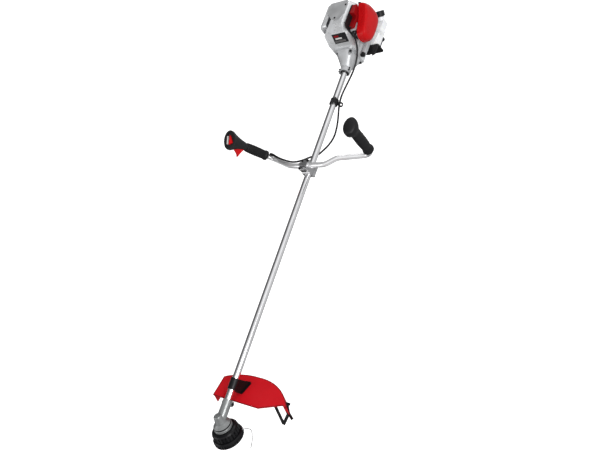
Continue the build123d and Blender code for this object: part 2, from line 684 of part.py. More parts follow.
# ---------------------------------------------------------------- clutch housing
FLANGE_X, FLANGE_Z, FLANGE_W, FLANGE_H, FLANGE_T = 3, 8, 94, 112, 10
COLLAR_R, LINER_R = 23, 14.5
FLANGE_BOLTS = [(x, z) for x in (-34, 34) for z in (-35, 46)]
with BuildPart() as clutch_housing:
    with BuildSketch(across(COLLAR_FRONT)):
        Circle(COLLAR_R)
    extrude(amount=25)
    with BuildSketch(across(COLLAR_FRONT - 23)):
        Circle(COLLAR_R + 1)
    with BuildSketch(across(ENGINE_FACE + FLANGE_T, FLANGE_X, FLANGE_Z)):
        RectangleRounded(88, 104, 24)
    loft()
    with BuildSketch(across(ENGINE_FACE + FLANGE_T, FLANGE_X, FLANGE_Z)):
        RectangleRounded(FLANGE_W, FLANGE_H, 16)
    extrude(amount=FLANGE_T)
    # split collar with two pairs of ears
    with BuildSketch(across(COLLAR_FRONT)):
        RectangleRounded(62, 13, 4)
    extrude(amount=22)
    with BuildSketch(across(COLLAR_FRONT)):
        Circle(LINER_R)
        with Locations((28, 0), (-28, 0)):
            Rectangle(30, 1)
    extrude(amount=36, mode=Mode.SUBTRACT)
    # room for the heads of the four flange bolts
    with BuildSketch(across(ENGINE_FACE + FLANGE_T)):
        with Locations(*FLANGE_BOLTS):
            Circle(8)
    extrude(amount=-40, mode=Mode.SUBTRACT)
    with BuildSketch(across(BOSS_FRONT + 1)):
        Circle(BALL_R)
    extrude(amount=BOSS_FRONT + 1 - DRUM_WEB - 5, mode=Mode.SUBTRACT)
    with BuildSketch(across(DRUM_WEB + 5)):
        Circle(DRUM_R + 2)
    extrude(amount=DRUM_WEB + 5 - ENGINE_FACE, mode=Mode.SUBTRACT)
clutch_housing.part.label = "clutch_housing"
export_step(clutch_housing.part, "parts/clutch_housing.step")

with BuildPart() as collar_liner:
    with BuildSketch(across(COLLAR_FRONT + 3)):
        Circle(LINER_R)
        Circle(TUBE_R, mode=Mode.SUBTRACT)
    extrude(amount=COLLAR_FRONT + 3 - TUBE_REAR)
    with BuildSketch(across(COLLAR_FRONT + 3)):
        Circle(19)
        Circle(TUBE_R, mode=Mode.SUBTRACT)
    extrude(amount=3)
collar_liner.part.label = "collar_liner"
export_step(collar_liner.part, "parts/collar_liner.step")

# ---------------------------------------------------------------- engine, rotating parts
CRANK_R, WEB_R, CRANK_PIN_R, THROW = 6, 22, 4.5, 14
with BuildPart() as crankshaft:
    for front, rear, radius, offset_z in (
        (-227, -400, CRANK_R, 0), (-330, -338, WEB_R, 0), (-354, -362, WEB_R, 0), (-338, -354, CRANK_PIN_R, THROW),
    ):
        with BuildSketch(across(front, 0, offset_z)):
            Circle(radius)
        extrude(amount=front - rear)
    with BuildSketch(across(-338)):
        Circle(CRANK_R + 1)
    extrude(amount=16, mode=Mode.SUBTRACT)
    with BuildSketch(across(-338, 0, THROW)):
        Circle(CRANK_PIN_R)
    extrude(amount=16)
crankshaft.part.label = "crankshaft"
export_step(crankshaft.part, "parts/crankshaft.step")

FLYWHEEL_R, FLYWHEEL_FRONT, FLYWHEEL_REAR = 40, -258, -280
with BuildPart() as flywheel:
    turn_profile(
        SHAFT_SIDE,
        ((-252, CRANK_R), (-252, 14), (-270, 14), (-270, FLYWHEEL_R), (FLYWHEEL_REAR, FLYWHEEL_R),
         (FLYWHEEL_REAR, 14), (-292, 14), (-292, CRANK_R)),
        SHAFT_AXIS,
    )
    with BuildSketch(across(FLYWHEEL_FRONT)):
        with PolarLocations(28, 16):
            Rectangle(18, 2)
    extrude(amount=FLYWHEEL_FRONT + 271)
flywheel.part.label = "flywheel"
export_step(flywheel.part, "parts/flywheel.step")

with BuildPart() as clutch_shoes:
    with BuildSketch(across(DRUM_WEB - 4)):
        Circle(DRUM_R - 3.5)
        Circle(13, mode=Mode.SUBTRACT)
        Rectangle(80, 5, mode=Mode.SUBTRACT)
        Circle(9)
        Rectangle(7, 40)
        Circle(CRANK_R, mode=Mode.SUBTRACT)
    extrude(amount=18)
clutch_shoes.part.label = "clutch_shoes"
export_step(clutch_shoes.part, "parts/clutch_shoes.step")

# ---------------------------------------------------------------- engine, castings and covers
CASE_X, CASE_TOP_Z, CASE_BOTTOM_Z = 48, 42, -50
TANK_LEFT, TANK_RIGHT, TANK_FRONT, TANK_REAR, TANK_TOP, TANK_BASE = -60, 72, -352, -482, -56, -107
FILLER_X, FILLER_Z, FILLER_R = -56, -13, 9
with BuildPart() as crankcase:
    with BuildSketch(across(FAN_REAR, 0, (CASE_TOP_Z + CASE_BOTTOM_Z) / 2)):
        RectangleRounded(2 * CASE_X, CASE_TOP_Z - CASE_BOTTOM_Z, 10)
    extrude(amount=FAN_REAR - CASE_REAR)
    with BuildSketch(across(-264, FILLER_X, FILLER_Z)):
        Circle(FILLER_R)
    extrude(amount=80)
    for station in (-270, -278, -286, -294):
        with BuildSketch(across(station, FILLER_X, FILLER_Z)):
            Circle(FILLER_R + 0.5)
        extrude(amount=3)
    with BuildSketch(across(FAN_REAR, -50, FILLER_Z)):
        RectangleRounded(24, 24, 6)
    extrude(amount=40)
    # lug that carries the fuel tank
    with BuildSketch(across(-356, 0, (CASE_BOTTOM_Z + TANK_TOP) / 2)):
        Rectangle(60, CASE_BOTTOM_Z - TANK_TOP)
    extrude(amount=30)
    with BuildSketch(across(FAN_REAR)):
        Circle(CRANK_R + RUNNING)
    extrude(amount=FAN_REAR - CASE_REAR, mode=Mode.SUBTRACT)
    with BuildSketch(across(-324)):
        Circle(26)
    extrude(amount=44, mode=Mode.SUBTRACT)
    with BuildSketch(level(20)):
        with Locations((0, -346)):
            Circle(17)
    extrude(amount=30, mode=Mode.SUBTRACT)
crankcase.part.label = "crankcase"
export_step(crankcase.part, "parts/crankcase.step")

CYLINDER_Y = -346
with BuildPart() as cylinder_block:
    with BuildSketch(level(CASE_TOP_Z)):
        with Locations((0, CYLINDER_Y)):
            RectangleRounded(56, 58, 10)
    extrude(amount=94)
    for fin in range(9):
        with BuildSketch(level(52 + 9 * fin)):
            with Locations((-3, CYLINDER_Y)):
                RectangleRounded(86, 72, 8)
        extrude(amount=2.5)
    with BuildSketch(level(CASE_TOP_Z)):
        with Locations((0, CYLINDER_Y)):
            Circle(17.5)
    extrude(amount=80, mode=Mode.SUBTRACT)
cylinder_block.part.label = "cylinder_block"
export_step(cylinder_block.part, "parts/cylinder_block.step")

with BuildPart() as piston:
    with BuildSketch(level(70)):
        with Locations((0, CYLINDER_Y)):
            Circle(17.4)
    extrude(amount=30)
    with BuildSketch(level(WEB_R + 0.5)):
        with Locations((0, CYLINDER_Y)):
            Rectangle(12, 8)
    extrude(amount=50)
piston.part.label = "piston"
export_step(piston.part, "parts/piston.step")

with BuildPart() as spark_plug:
    with BuildSketch(across(-278, 12, 118)):
        Circle(8)
    extrude(amount=22)
    with BuildSketch(across(-300, 12, 118)):
        RegularPolygon(8, 6)
    extrude(amount=6)
    with BuildSketch(across(-306, 12, 118)):
        Circle(5)
    extrude(amount=4)
spark_plug.part.label = "spark_plug"
export_step(spark_plug.part, "parts/spark_plug.step")

# The fan cover's front leans back above the flange and its left shoulder is cut off.
COVER_LEFT, COVER_RIGHT, COVER_TOP, SKIN = -54, 62, 150, 3
LEAN_START, LEAN_END, LEAN_BACK = 84, 136, 18


def fan_cover_block(inset, rear):
    """The fan cover's solid shape drawn in by an inset, as far back as the rear station."""
    face, top = ENGINE_FACE - inset, COVER_TOP - inset
    left, right = COVER_LEFT + inset, COVER_RIGHT - inset
    with BuildSketch(across(face)) as front:
        with BuildLine():
            Polyline(
                (-44 + inset, -52 + inset), (-44 + inset, 8), (left, 34), (left, 120), (-30, top), (40, top),
                (right, 132), (right, 20), (48 - inset, -8), (48 - inset, -52 + inset), close=True,
            )
        make_face()
        fillet(front.vertices(), 9)
    extrude(front.sketch, amount=face - rear)
    with BuildSketch(along(COVER_LEFT - 5)) as profile:
        with BuildLine():
            Polyline(
                (rear, -60), (face, -60), (face, LEAN_START), (face - LEAN_BACK, LEAN_END - inset),
                (rear, top + 2), close=True,
            )
        make_face()
    extrude(profile.sketch, amount=COVER_RIGHT - COVER_LEFT + 10, mode=Mode.INTERSECT)


with BuildPart() as fan_hollow:
    fan_cover_block(SKIN, FAN_REAR - 1)

with BuildPart() as fan_cover:
    fan_cover_block(0, FAN_REAR)
    add(fan_hollow.part, mode=Mode.SUBTRACT)
    with BuildSketch(across(ENGINE_FACE)):
        Circle(DRUM_R + 2)
    extrude(amount=10, mode=Mode.SUBTRACT)
fan_cover.part.label = "fan_cover"
export_step(fan_cover.part, "parts/fan_cover.step")

TOP_GAP, TOP_BASE, TOP_REAR, TOP_ROUND = 0.5, 54, -436, 20
INTAKE_WINDOW = ((-372, -310), (86, 144))  # Y and Z limits
EXHAUST_WINDOW = ((-416, -332), (52, 124))


def top_cover_block(block, inset):
    """The top cover's solid shape drawn in by an inset; its underside is open."""
    with BuildSketch(across(FAN_REAR - TOP_GAP - inset)) as front:
        with BuildLine():
            Polyline(
                (COVER_LEFT + inset, TOP_BASE - inset), (COVER_LEFT + inset, 120), (-30, COVER_TOP - inset),
                (40, COVER_TOP - inset), (COVER_RIGHT - inset, 132), (COVER_RIGHT - inset, TOP_BASE - inset),
                close=True,
            )
        make_face()
        fillet(front.vertices().group_by(Axis.Z)[-1], 9)
    extrude(front.sketch, amount=FAN_REAR - TOP_GAP - TOP_REAR - 2 * inset)
    fillet(block.edges().filter_by(Axis.X).group_by(Axis.Y)[0].sort_by(Axis.Z)[-1:], TOP_ROUND - inset)


with BuildPart() as top_hollow:
    top_cover_block(top_hollow, SKIN)

with BuildPart() as top_cover:
    top_cover_block(top_cover, 0)
    add(top_hollow.part, mode=Mode.SUBTRACT)
    for (rear, front), (low, high), side in (
        (*INTAKE_WINDOW, COVER_LEFT - 1), (*EXHAUST_WINDOW, COVER_RIGHT - 9),
    ):
        with BuildSketch(along(side)):
            with Locations(((rear + front) / 2, (low + high) / 2)):
                Rectangle(front - rear, high - low)
        extrude(amount=10, mode=Mode.SUBTRACT)
    with BuildSketch(across(FAN_REAR)):
        with Locations((4, 100)):
            Rectangle(100, 84)
    extrude(amount=5, mode=Mode.SUBTRACT)
top_cover.part.label = "top_cover"
export_step(top_cover.part, "parts/top_cover.step")

PLATE_T = 2.5
with BuildPart() as cover_plate:
    with BuildSketch(level(COVER_TOP)) as plate_outline:
        with BuildLine():
            Polyline(
                (-9, -321), (13, -322), (44, -342), (74, -376), (74, -432), (-20, -432), (-29, -404), (-27, -352),
                close=True,
            )
        make_face()
        fillet(plate_outline.vertices(), 7)
    extrude(amount=PLATE_T)
cover_plate.part.label = "cover_plate"
export_step(cover_plate.part, "parts/cover_plate.step")

with BuildPart() as recoil_housing:
    turn_profile(
        SHAFT_SIDE,
        ((CASE_REAR, 47), (CASE_REAR, 51), (-424, 51), (-432, 44), (-432, 0), (-429, 0), (-429, 42),
         (-422, 47.5), (CASE_REAR - 2, 47.5)),
        SHAFT_AXIS,
    )
    with BuildSketch(across(-432)):
        with PolarLocations(28, 10):
            RectangleRounded(18, 5, 2)
    extrude(amount=-4, mode=Mode.SUBTRACT)
    with BuildSketch(along(44, 0, -12)):
        with Locations((-411, 0)):
            Circle(9)
            Circle(3, mode=Mode.SUBTRACT)
    extrude(amount=11)
recoil_housing.part.label = "recoil_housing"
export_step(recoil_housing.part, "parts/recoil_housing.step")

HANDLE_X, HANDLE_Y, HANDLE_Z = 55.4, -411, -12
with BuildPart() as starter_handle:
    with BuildSketch(along(HANDLE_X, HANDLE_Y, HANDLE_Z)):
        Circle(7)
    extrude(amount=8)
    with BuildSketch(along(HANDLE_X + 8, HANDLE_Y, HANDLE_Z)):
        RectangleRounded(17, 46, 7)
    extrude(amount=12)
starter_handle.part.label = "starter_handle"
export_step(starter_handle.part, "parts/starter_handle.step")

with BuildPart() as muffler:
    with BuildSketch(along(46)):
        with Locations((-346, 84)):
            RectangleRounded(34, 30, 6)
    extrude(amount=6)
    with BuildSketch(along(52)):
        with Locations((-374, 88)):
            RectangleRounded(80, 66, 12)
    extrude(amount=42)
muffler.part.label = "muffler"
export_step(muffler.part, "parts/muffler.step")

GUARD_LEFT, GUARD_RIGHT, SHELL = COVER_RIGHT + 0.5, 104, 2.5


def muffler_shell(shell, inset):
    """The muffler guard's solid shape drawn in by an inset; its left side is open."""
    with BuildSketch(across(-308 - inset)) as outline:
        with BuildLine():
            Polyline(
                (GUARD_LEFT - inset, 30 + inset), (GUARD_LEFT - inset, 148 - inset),
                (GUARD_RIGHT - inset, 148 - inset), (GUARD_RIGHT - inset, 30 + inset), close=True,
            )
        make_face()
        fillet(outline.vertices().group_by(Axis.X)[-1], 26 - inset)
    extrude(outline.sketch, amount=128 - 2 * inset)
    fillet(shell.faces().sort_by(Axis.Y)[-1].edges().sort_by(Axis.X)[1:], 10 - inset)
    fillet(shell.faces().sort_by(Axis.Y)[0].edges().sort_by(Axis.X)[1:], 10 - inset)


with BuildPart() as shell_hollow:
    muffler_shell(shell_hollow, SHELL)

with BuildPart() as muffler_guard:
    muffler_shell(muffler_guard, 0)
    add(shell_hollow.part, mode=Mode.SUBTRACT)
    with BuildSketch(along(GUARD_RIGHT - 8)):
        for slot in range(6):
            with Locations((-338 - 14 * slot, 88)):
                SlotOverall(58, 6, rotation=90)
    extrude(amount=12, mode=Mode.SUBTRACT)
    with BuildSketch(across(-304)):
        with Locations((72, 88), (80, 88), (88, 88)):
            SlotOverall(76, 4, rotation=90)
    extrude(amount=9, mode=Mode.SUBTRACT)
muffler_guard.part.label = "muffler_guard"
export_step(muffler_guard.part, "parts/muffler_guard.step")

# ---------------------------------------------------------------- intake side
with BuildPart() as intake_insulator:
    with BuildSketch(along(-58)):
        with Locations((-337, 112)):
            RectangleRounded(122, 86, 16)
    extrude(amount=3.5)
    with BuildSketch(along(-58)):
        with Locations((-341, 114)):
            Rectangle(40, 30)
    extrude(amount=11.6)
intake_insulator.part.label = "intake_insulator"
export_step(intake_insulator.part, "parts/intake_insulator.step")

CARB_FRONT, CARB_REAR, CARB_BASE, CARB_TOP, CARB_OUT, CARB_IN = -284, -326, 76, 112, -78, -58
LEVER_X, LEVER_Z, CHOKE_X, CHOKE_Z = -69, 98, -63, 84
STUB_R, STUB_DEPTH, LEVER_GAP, LEVER_T = 2, 8, 0.6, 3
with BuildPart() as carburettor:
    with BuildSketch(along(CARB_OUT)):
        with Locations(((CARB_FRONT + CARB_REAR) / 2, (CARB_BASE + CARB_TOP) / 2)):
            RectangleRounded(CARB_FRONT - CARB_REAR, CARB_TOP - CARB_BASE, 4)
    extrude(amount=CARB_IN - CARB_OUT)
    with BuildSketch(level(CARB_BASE, -68, -306)):
        Circle(8.4)
    extrude(amount=4.5, mode=Mode.SUBTRACT)
    with BuildSketch(across(CARB_FRONT)):
        with Locations((LEVER_X, LEVER_Z), (CHOKE_X, CHOKE_Z)):
            Circle(STUB_R + RUNNING)
    extrude(amount=STUB_DEPTH + 1, mode=Mode.SUBTRACT)
carburettor.part.label = "carburettor"
export_step(carburettor.part, "parts/carburettor.step")

with BuildPart() as carb_lever:
    with BuildSketch(across(CARB_FRONT + LEVER_GAP + LEVER_T)):
        with Locations((LEVER_X, LEVER_Z)):
            Circle(6)
        with Locations((LEVER_X - 5, LEVER_Z + 7)):
            Circle(4.5)
    extrude(amount=LEVER_T)
    with BuildSketch(across(CARB_FRONT + LEVER_GAP + LEVER_T + 5)):
        with Locations((LEVER_X - 5, LEVER_Z + 7)):
            Circle(3.5)
    extrude(amount=5)
    with BuildSketch(across(CARB_FRONT + LEVER_GAP, LEVER_X, LEVER_Z)):
        Circle(STUB_R)
    extrude(amount=STUB_DEPTH)
carb_lever.part.label = "carb_lever"
export_step(carb_lever.part, "parts/carb_lever.step")

with BuildPart() as choke_lever:
    with BuildSketch(across(CARB_FRONT + LEVER_GAP + LEVER_T)):
        with Locations((CHOKE_X, CHOKE_Z)):
            Circle(4.5)
        with Locations((CHOKE_X - 1, CHOKE_Z - 13)):
            RectangleRounded(6, 24, 2.5)
    extrude(amount=LEVER_T)
    with BuildSketch(across(CARB_FRONT + LEVER_GAP, CHOKE_X, CHOKE_Z)):
        Circle(STUB_R)
    extrude(amount=STUB_DEPTH)
choke_lever.part.label = "choke_lever"
export_step(choke_lever.part, "parts/choke_lever.step")

with BuildPart() as primer_bulb:
    with BuildSketch(level(66.5, -68, -306)):
        Circle(8)
    extrude(amount=9.5)
    fillet(primer_bulb.faces().sort_by(Axis.Z)[0].edges(), 6)
primer_bulb.part.label = "primer_bulb"
export_step(primer_bulb.part, "parts/primer_bulb.step")

BOX_OUTLINE = (
    (-390, 40), (-327, 40), (-327, 113), (-290, 113), (-290, 126), (-345, 126), (-345, 151), (-390, 151),
)
FILTER_IN, FILTER_RIM, FILTER_SHOULDER, FILTER_OUT = -82, -100, -118, -126
FILTER_MIDDLE, FILTER_ROUND = (-349, 72), 16
FILTER_OUTLINE = (
    (-398, 141), (-424, 96), (-426, 44), (-405, 15), (-330, 12), (-290, 22), (-272, 50), (-272, 82), (-290, 99),
    (-348, 113),
)


def filter_section(side, share):
    """A section across the air filter, to the side of the shaft, at a share of the full outline."""
    with BuildSketch(along(side)) as section:
        with BuildLine():
            Polyline(
                *[(FILTER_MIDDLE[0] + share * (y - FILTER_MIDDLE[0]), FILTER_MIDDLE[1] + share * (z - FILTER_MIDDLE[1]))
                  for y, z in FILTER_OUTLINE],
                close=True,
            )
        make_face()
        fillet(section.vertices(), share * FILTER_ROUND)
    return section.sketch


with BuildPart() as air_box:
    with BuildSketch(along(-80)):
        with BuildLine():
            Polyline(*BOX_OUTLINE, close=True)
        make_face()
    extrude(amount=22)
    extrude(filter_section(FILTER_IN, 1), amount=2)
air_box.part.label = "air_box"
export_step(air_box.part, "parts/air_box.step")

with BuildPart() as air_filter_element:
    extrude(filter_section(-98, 0.7), amount=16)
air_filter_element.part.label = "air_filter_element"
export_step(air_filter_element.part, "parts/air_filter_element.step")

with BuildPart() as filter_hollow:
    extrude(filter_section(FILTER_RIM, 0.95), amount=30)
    loft([filter_section(FILTER_RIM, 0.95), filter_section(FILTER_SHOULDER + 2, 0.85)])
    loft([filter_section(FILTER_SHOULDER + 2, 0.85), filter_section(FILTER_OUT + 3, 0.5)])

with BuildPart() as air_filter_cover:
    extrude(filter_section(FILTER_RIM, 1), amount=FILTER_IN - 0.4 - FILTER_RIM)
    loft([filter_section(FILTER_RIM, 1), filter_section(FILTER_SHOULDER, 0.9)])
    loft([filter_section(FILTER_SHOULDER, 0.9), filter_section(FILTER_OUT, 0.55)])
    add(filter_hollow.part, mode=Mode.SUBTRACT)
air_filter_cover.part.label = "air_filter_cover"
export_step(air_filter_cover.part, "parts/air_filter_cover.step")

# ---------------------------------------------------------------- fuel and oil
NECK_PLANE = Plane(origin=point(-68, -470, -40), x_dir=RIGHT, z_dir=(0, -0.6, 0.8))
with BuildPart() as fuel_tank:
    with BuildSketch(level(TANK_BASE)):
        with Locations(((TANK_LEFT + TANK_RIGHT) / 2, (TANK_FRONT + TANK_REAR) / 2)):
            RectangleRounded(TANK_RIGHT - TANK_LEFT, TANK_FRONT - TANK_REAR, 26)
    extrude(amount=TANK_TOP - TANK_BASE)
    fillet(fuel_tank.faces().sort_by(Axis.Z)[0].edges(), 16)
    # shoulder that carries the filler neck
    with BuildSketch(level(TANK_TOP - 14)):
        with Locations((-64, TANK_REAR + 34)):
            RectangleRounded(40, 66, 14)
    extrude(amount=34)
    with BuildSketch(NECK_PLANE):
        Circle(15)
    extrude(amount=16)
fuel_tank.part.label = "fuel_tank"
export_step(fuel_tank.part, "parts/fuel_tank.step")

with BuildPart() as fuel_cap:
    with BuildSketch(NECK_PLANE.offset(16.4)):
        Circle(21)
    extrude(amount=24)
    fillet(fuel_cap.edges(), 2)
fuel_cap.part.label = "fuel_cap"
export_step(fuel_cap.part, "parts/fuel_cap.step")

STAND_TOP, STAND_BASE, STAND_FRONT, WALL_TOP = TANK_BASE, -120, -344, -58
with BuildPart() as tank_stand:
    with BuildSketch(level(STAND_TOP)):
        with Locations((-6, -391)):
            RectangleRounded(96, 2 * (391 + STAND_FRONT), 12)
    extrude(amount=-3)
    with BuildSketch(level(STAND_TOP - 3)):
        with Locations((-6, -400)):
            with GridLocations(74, 54, 2, 2):
                RectangleRounded(20, 18, 5)
    extrude(amount=STAND_BASE - STAND_TOP + 3)
    # wall in front of the tank, with a two-toed foot that reaches forward on the left
    with BuildSketch(across(STAND_FRONT)):
        with Locations((-26, (WALL_TOP + STAND_TOP - 3) / 2)):
            RectangleRounded(108, WALL_TOP - STAND_TOP + 3, 8)
    extrude(amount=6)
    with BuildSketch(level(WALL_TOP - 6)):
        with BuildLine():
            Polyline(
                (-80, STAND_FRONT), (-78, -296), (-66, -288), (-58, -314), (-46, -294), (-34, -300),
                (-34, STAND_FRONT), close=True,
            )
        make_face()
    extrude(amount=6)
tank_stand.part.label = "tank_stand"
export_step(tank_stand.part, "parts/tank_stand.step")

with BuildPart() as oil_cap:
    with BuildSketch(across(-263.6, FILLER_X, FILLER_Z)):
        Circle(10.5)
    extrude(amount=-13)
    with BuildSketch(across(-250.6, FILLER_X, FILLER_Z)):
        RectangleRounded(17, 5, 2)
    extrude(amount=-4)
oil_cap.part.label = "oil_cap"
export_step(oil_cap.part, "parts/oil_cap.step")

# ---------------------------------------------------------------- screws, in two groups
CLAMP_EAR_Z = 6.5
with BuildPart() as clamp_bolts:
    # harness clamp, one pair on each side of its split
    for side in (-1, 1):
        for station in (-7, 7):
            seat = Vector(*point(0, station, 0)) + EYE_FACING * (21.2 * side) - TO_SHAFT * 4
            with BuildSketch(Plane(origin=seat, x_dir=FORWARD, z_dir=-TO_SHAFT)):
                Circle(3.4)
            extrude(amount=4)
    # handlebar clamp: three cap screws above, four nuts below
    with BuildSketch(level(BAR_Z + 9)):
        with Locations(*CAP_BOLTS[:1], *CAP_BOLTS[2:]):
            Circle(4.5)
    extrude(amount=5)
    with BuildSketch(level(-19)):
        with Locations(*CAP_BOLTS):
            RegularPolygon(5, 6)
    extrude(amount=-4)
    # guard bracket: two through its split leg and two up through the guard into its foot
    with BuildSketch(along(LEG_HALF)):
        with Locations(*LEG_BOLTS):
            RegularPolygon(4.5, 6)
    extrude(amount=4)
    with BuildSketch(head_plane(GUARD_TOP + GUARD_WALL)):
        with Locations(*FOOT_BOLTS):
            Circle(5)
    extrude(amount=3.5)
    # gear case neck
    for side in (-1, 1):
        face = Plane(origin=point(side * CASE_EAR, NECK_REAR + 11, -6), x_dir=FORWARD, z_dir=(side, 0, 0))
        with BuildSketch(face):
            RegularPolygon(5.5, 6)
        extrude(amount=5)
    # clutch housing collar, two on each side
    for side in (-1, 1):
        for station in (COLLAR_FRONT - 6, COLLAR_FRONT - 16):
            with BuildSketch(level(CLAMP_EAR_Z, 27 * side, station)):
                Circle(3.6)
            extrude(amount=4)
clamp_bolts.part.label = "clamp_bolts"
export_step(clamp_bolts.part, "parts/clamp_bolts.step")

PLATE_SCREWS = ((18, -337), (-19, -402))
with BuildPart() as engine_screws:
    with BuildSketch(across(ENGINE_FACE + FLANGE_T)):
        with Locations(*FLANGE_BOLTS):
            Circle(5)
    extrude(amount=-5)
    with BuildSketch(level(COVER_TOP + PLATE_T)):
        with Locations(*PLATE_SCREWS):
            Circle(4.5)
    extrude(amount=2.5)
    with BuildSketch(across(-285)):
        with Locations((-70, 130)):
            Circle(4)
    extrude(amount=-3)
engine_screws.part.label = "engine_screws"
export_step(engine_screws.part, "parts/engine_screws.step")

# ---------------------------------------------------------------- throttle cable
CABLE_ROUTE = (
    point(-74, -270.4, 105), point(-72, -258, 68), point(-64, -232, 32), point(-50, -196, 4), point(-38, -155, -8),
    point(-30, -110, -9), point(-26, -66, -6), point(-24.5, -24, -4), point(-24, 18, -12), point(-23, 58, -31),
    point(-24, 100, -42), point(-25, 146, -46), point(-20, 190, -38), point(-10, 226, -26), point(7, 252, -22),
    point(23, 275, 2), point(44, 297, 14), point(88, 309, 20), point(136, 302, 34), point(184, 284, 32),
    point(226, 262, 16), point(252, 249, 2), point(268, 243, -4),
)
with BuildPart() as throttle_cable:
    with BuildLine() as cable_line:
        tube_path(CABLE_ROUTE)
    with BuildSketch(Plane(origin=cable_line.line @ 0, z_dir=cable_line.line % 0)):
        Circle(CABLE_R)
    sweep()
throttle_cable.part.label = "throttle_cable"
export_step(throttle_cable.part, "parts/throttle_cable.step")
CABLE_LENGTH = cable_line.wires()[0].length
print("throttle cable length", round(CABLE_LENGTH), "volume ratio",
      round(throttle_cable.part.volume / (CABLE_LENGTH * pi * CABLE_R**2), 4))
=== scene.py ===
"""The looks of the string trimmer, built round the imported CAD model. Metres, in the model's own frame."""
import json
import math

import bmesh
import bpy
from mathutils import Matrix, Vector

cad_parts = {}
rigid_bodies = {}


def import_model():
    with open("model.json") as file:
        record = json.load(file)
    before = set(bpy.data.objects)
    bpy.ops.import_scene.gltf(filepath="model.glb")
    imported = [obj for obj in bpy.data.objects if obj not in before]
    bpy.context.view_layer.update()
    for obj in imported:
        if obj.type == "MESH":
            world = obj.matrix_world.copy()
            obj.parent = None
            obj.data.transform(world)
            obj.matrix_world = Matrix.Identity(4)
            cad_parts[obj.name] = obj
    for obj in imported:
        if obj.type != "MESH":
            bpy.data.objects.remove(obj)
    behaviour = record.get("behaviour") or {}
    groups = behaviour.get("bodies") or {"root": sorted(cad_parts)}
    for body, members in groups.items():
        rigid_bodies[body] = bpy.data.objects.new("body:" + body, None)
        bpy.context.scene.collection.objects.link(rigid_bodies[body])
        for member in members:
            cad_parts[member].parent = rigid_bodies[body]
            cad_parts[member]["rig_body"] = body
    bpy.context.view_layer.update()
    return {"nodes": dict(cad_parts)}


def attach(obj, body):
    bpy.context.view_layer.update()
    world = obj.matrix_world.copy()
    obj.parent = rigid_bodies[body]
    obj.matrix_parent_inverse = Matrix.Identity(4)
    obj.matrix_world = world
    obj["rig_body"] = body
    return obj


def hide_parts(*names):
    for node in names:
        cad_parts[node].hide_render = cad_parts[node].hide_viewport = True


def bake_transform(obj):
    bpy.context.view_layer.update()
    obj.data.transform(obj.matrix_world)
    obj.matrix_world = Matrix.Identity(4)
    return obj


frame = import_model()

NODES = frame["nodes"]
SCENE = bpy.context.scene

# The shaft's axis runs forward through SHAFT and meets the head's spindle at HUB, where the spindle points
# 60 degrees down from it.
SHAFT = Vector((0.022, 0.0, 0.020))
HUB = Vector((0.022, 1.378, 0.020))
RIGHT = Vector((1, 0, 0))
DOWN_SPINDLE = Vector((0, 0.5, -math.sqrt(0.75)))
BACK_SPINDLE = Vector((0, -math.sqrt(0.75), -0.5))


def at(x, y, z):
    """A place given in millimetres from the shaft axis."""
    return SHAFT + Vector((x, y, z)) / 1000


def at_head(x, back, down):
    """A place on the head in millimetres: right, back toward the operator, and down the spindle."""
    return HUB + (RIGHT * x + BACK_SPINDLE * back + DOWN_SPINDLE * down) / 1000


# ---------------------------------------------------------------- camera and light
CAMERA_PLACE = (-1.657, 1.4205, 1.692)
CAMERA_RIGHT = Vector((-0.75335, -0.31225, -0.57876))
CAMERA_UP = Vector((0.01696, -0.88902, 0.45756))
SENSOR_MM, LENS_MM = 36, 37.85
FLOOR_REACH, FLOOR_HEIGHT = 40.0, -1.1

# The studio's brightness at heights from straight below (0) to straight above (1), with a dark horizon.
SKY_STOPS = ((0.0, 0.45), (0.44, 0.80), (0.49, 0.20), (0.55, 0.85), (0.80, 1.05), (1.0, 0.80))
STUDIO_STRENGTH = 0.90
SURROUND = 0.975

# Dark screens that the metal reflects: where, inner and outer angle in degrees, and the light left in them.
SCREENS = (
    ((0.78, -0.38, 0.48), 34, 62, 0.14),
    ((0.64, 0.50, -0.56), 16, 34, 0.05),
    ((-0.2, 0.95, 0.1), 10, 34, 0.30),
)


def place_camera():
    """The photograph's viewpoint and angle of view."""
    camera = bpy.data.objects.new("camera", bpy.data.cameras.new("camera"))
    SCENE.collection.objects.link(camera)
    camera.data.sensor_width = SENSOR_MM
    camera.data.lens = LENS_MM
    camera.data.clip_end = 100
    turn = Matrix((CAMERA_RIGHT, CAMERA_UP, CAMERA_RIGHT.cross(CAMERA_UP))).transposed().to_4x4()
    camera.matrix_world = Matrix.Translation(CAMERA_PLACE) @ turn
    SCENE.camera = camera


def add_light(name, place, target, size, power):
    """A square white lamp of a size in metres and a power in watts."""
    data = bpy.data.lights.new(name, "AREA")
    data.shape, data.size, data.size_y = "RECTANGLE", size, size
    data.energy = power
    lamp = bpy.data.objects.new(name, data)
    SCENE.collection.objects.link(lamp)
    place = Vector(place)
    lamp.location = place
    lamp.rotation_euler = (Vector(target) - place).to_track_quat("-Z", "Y").to_euler()


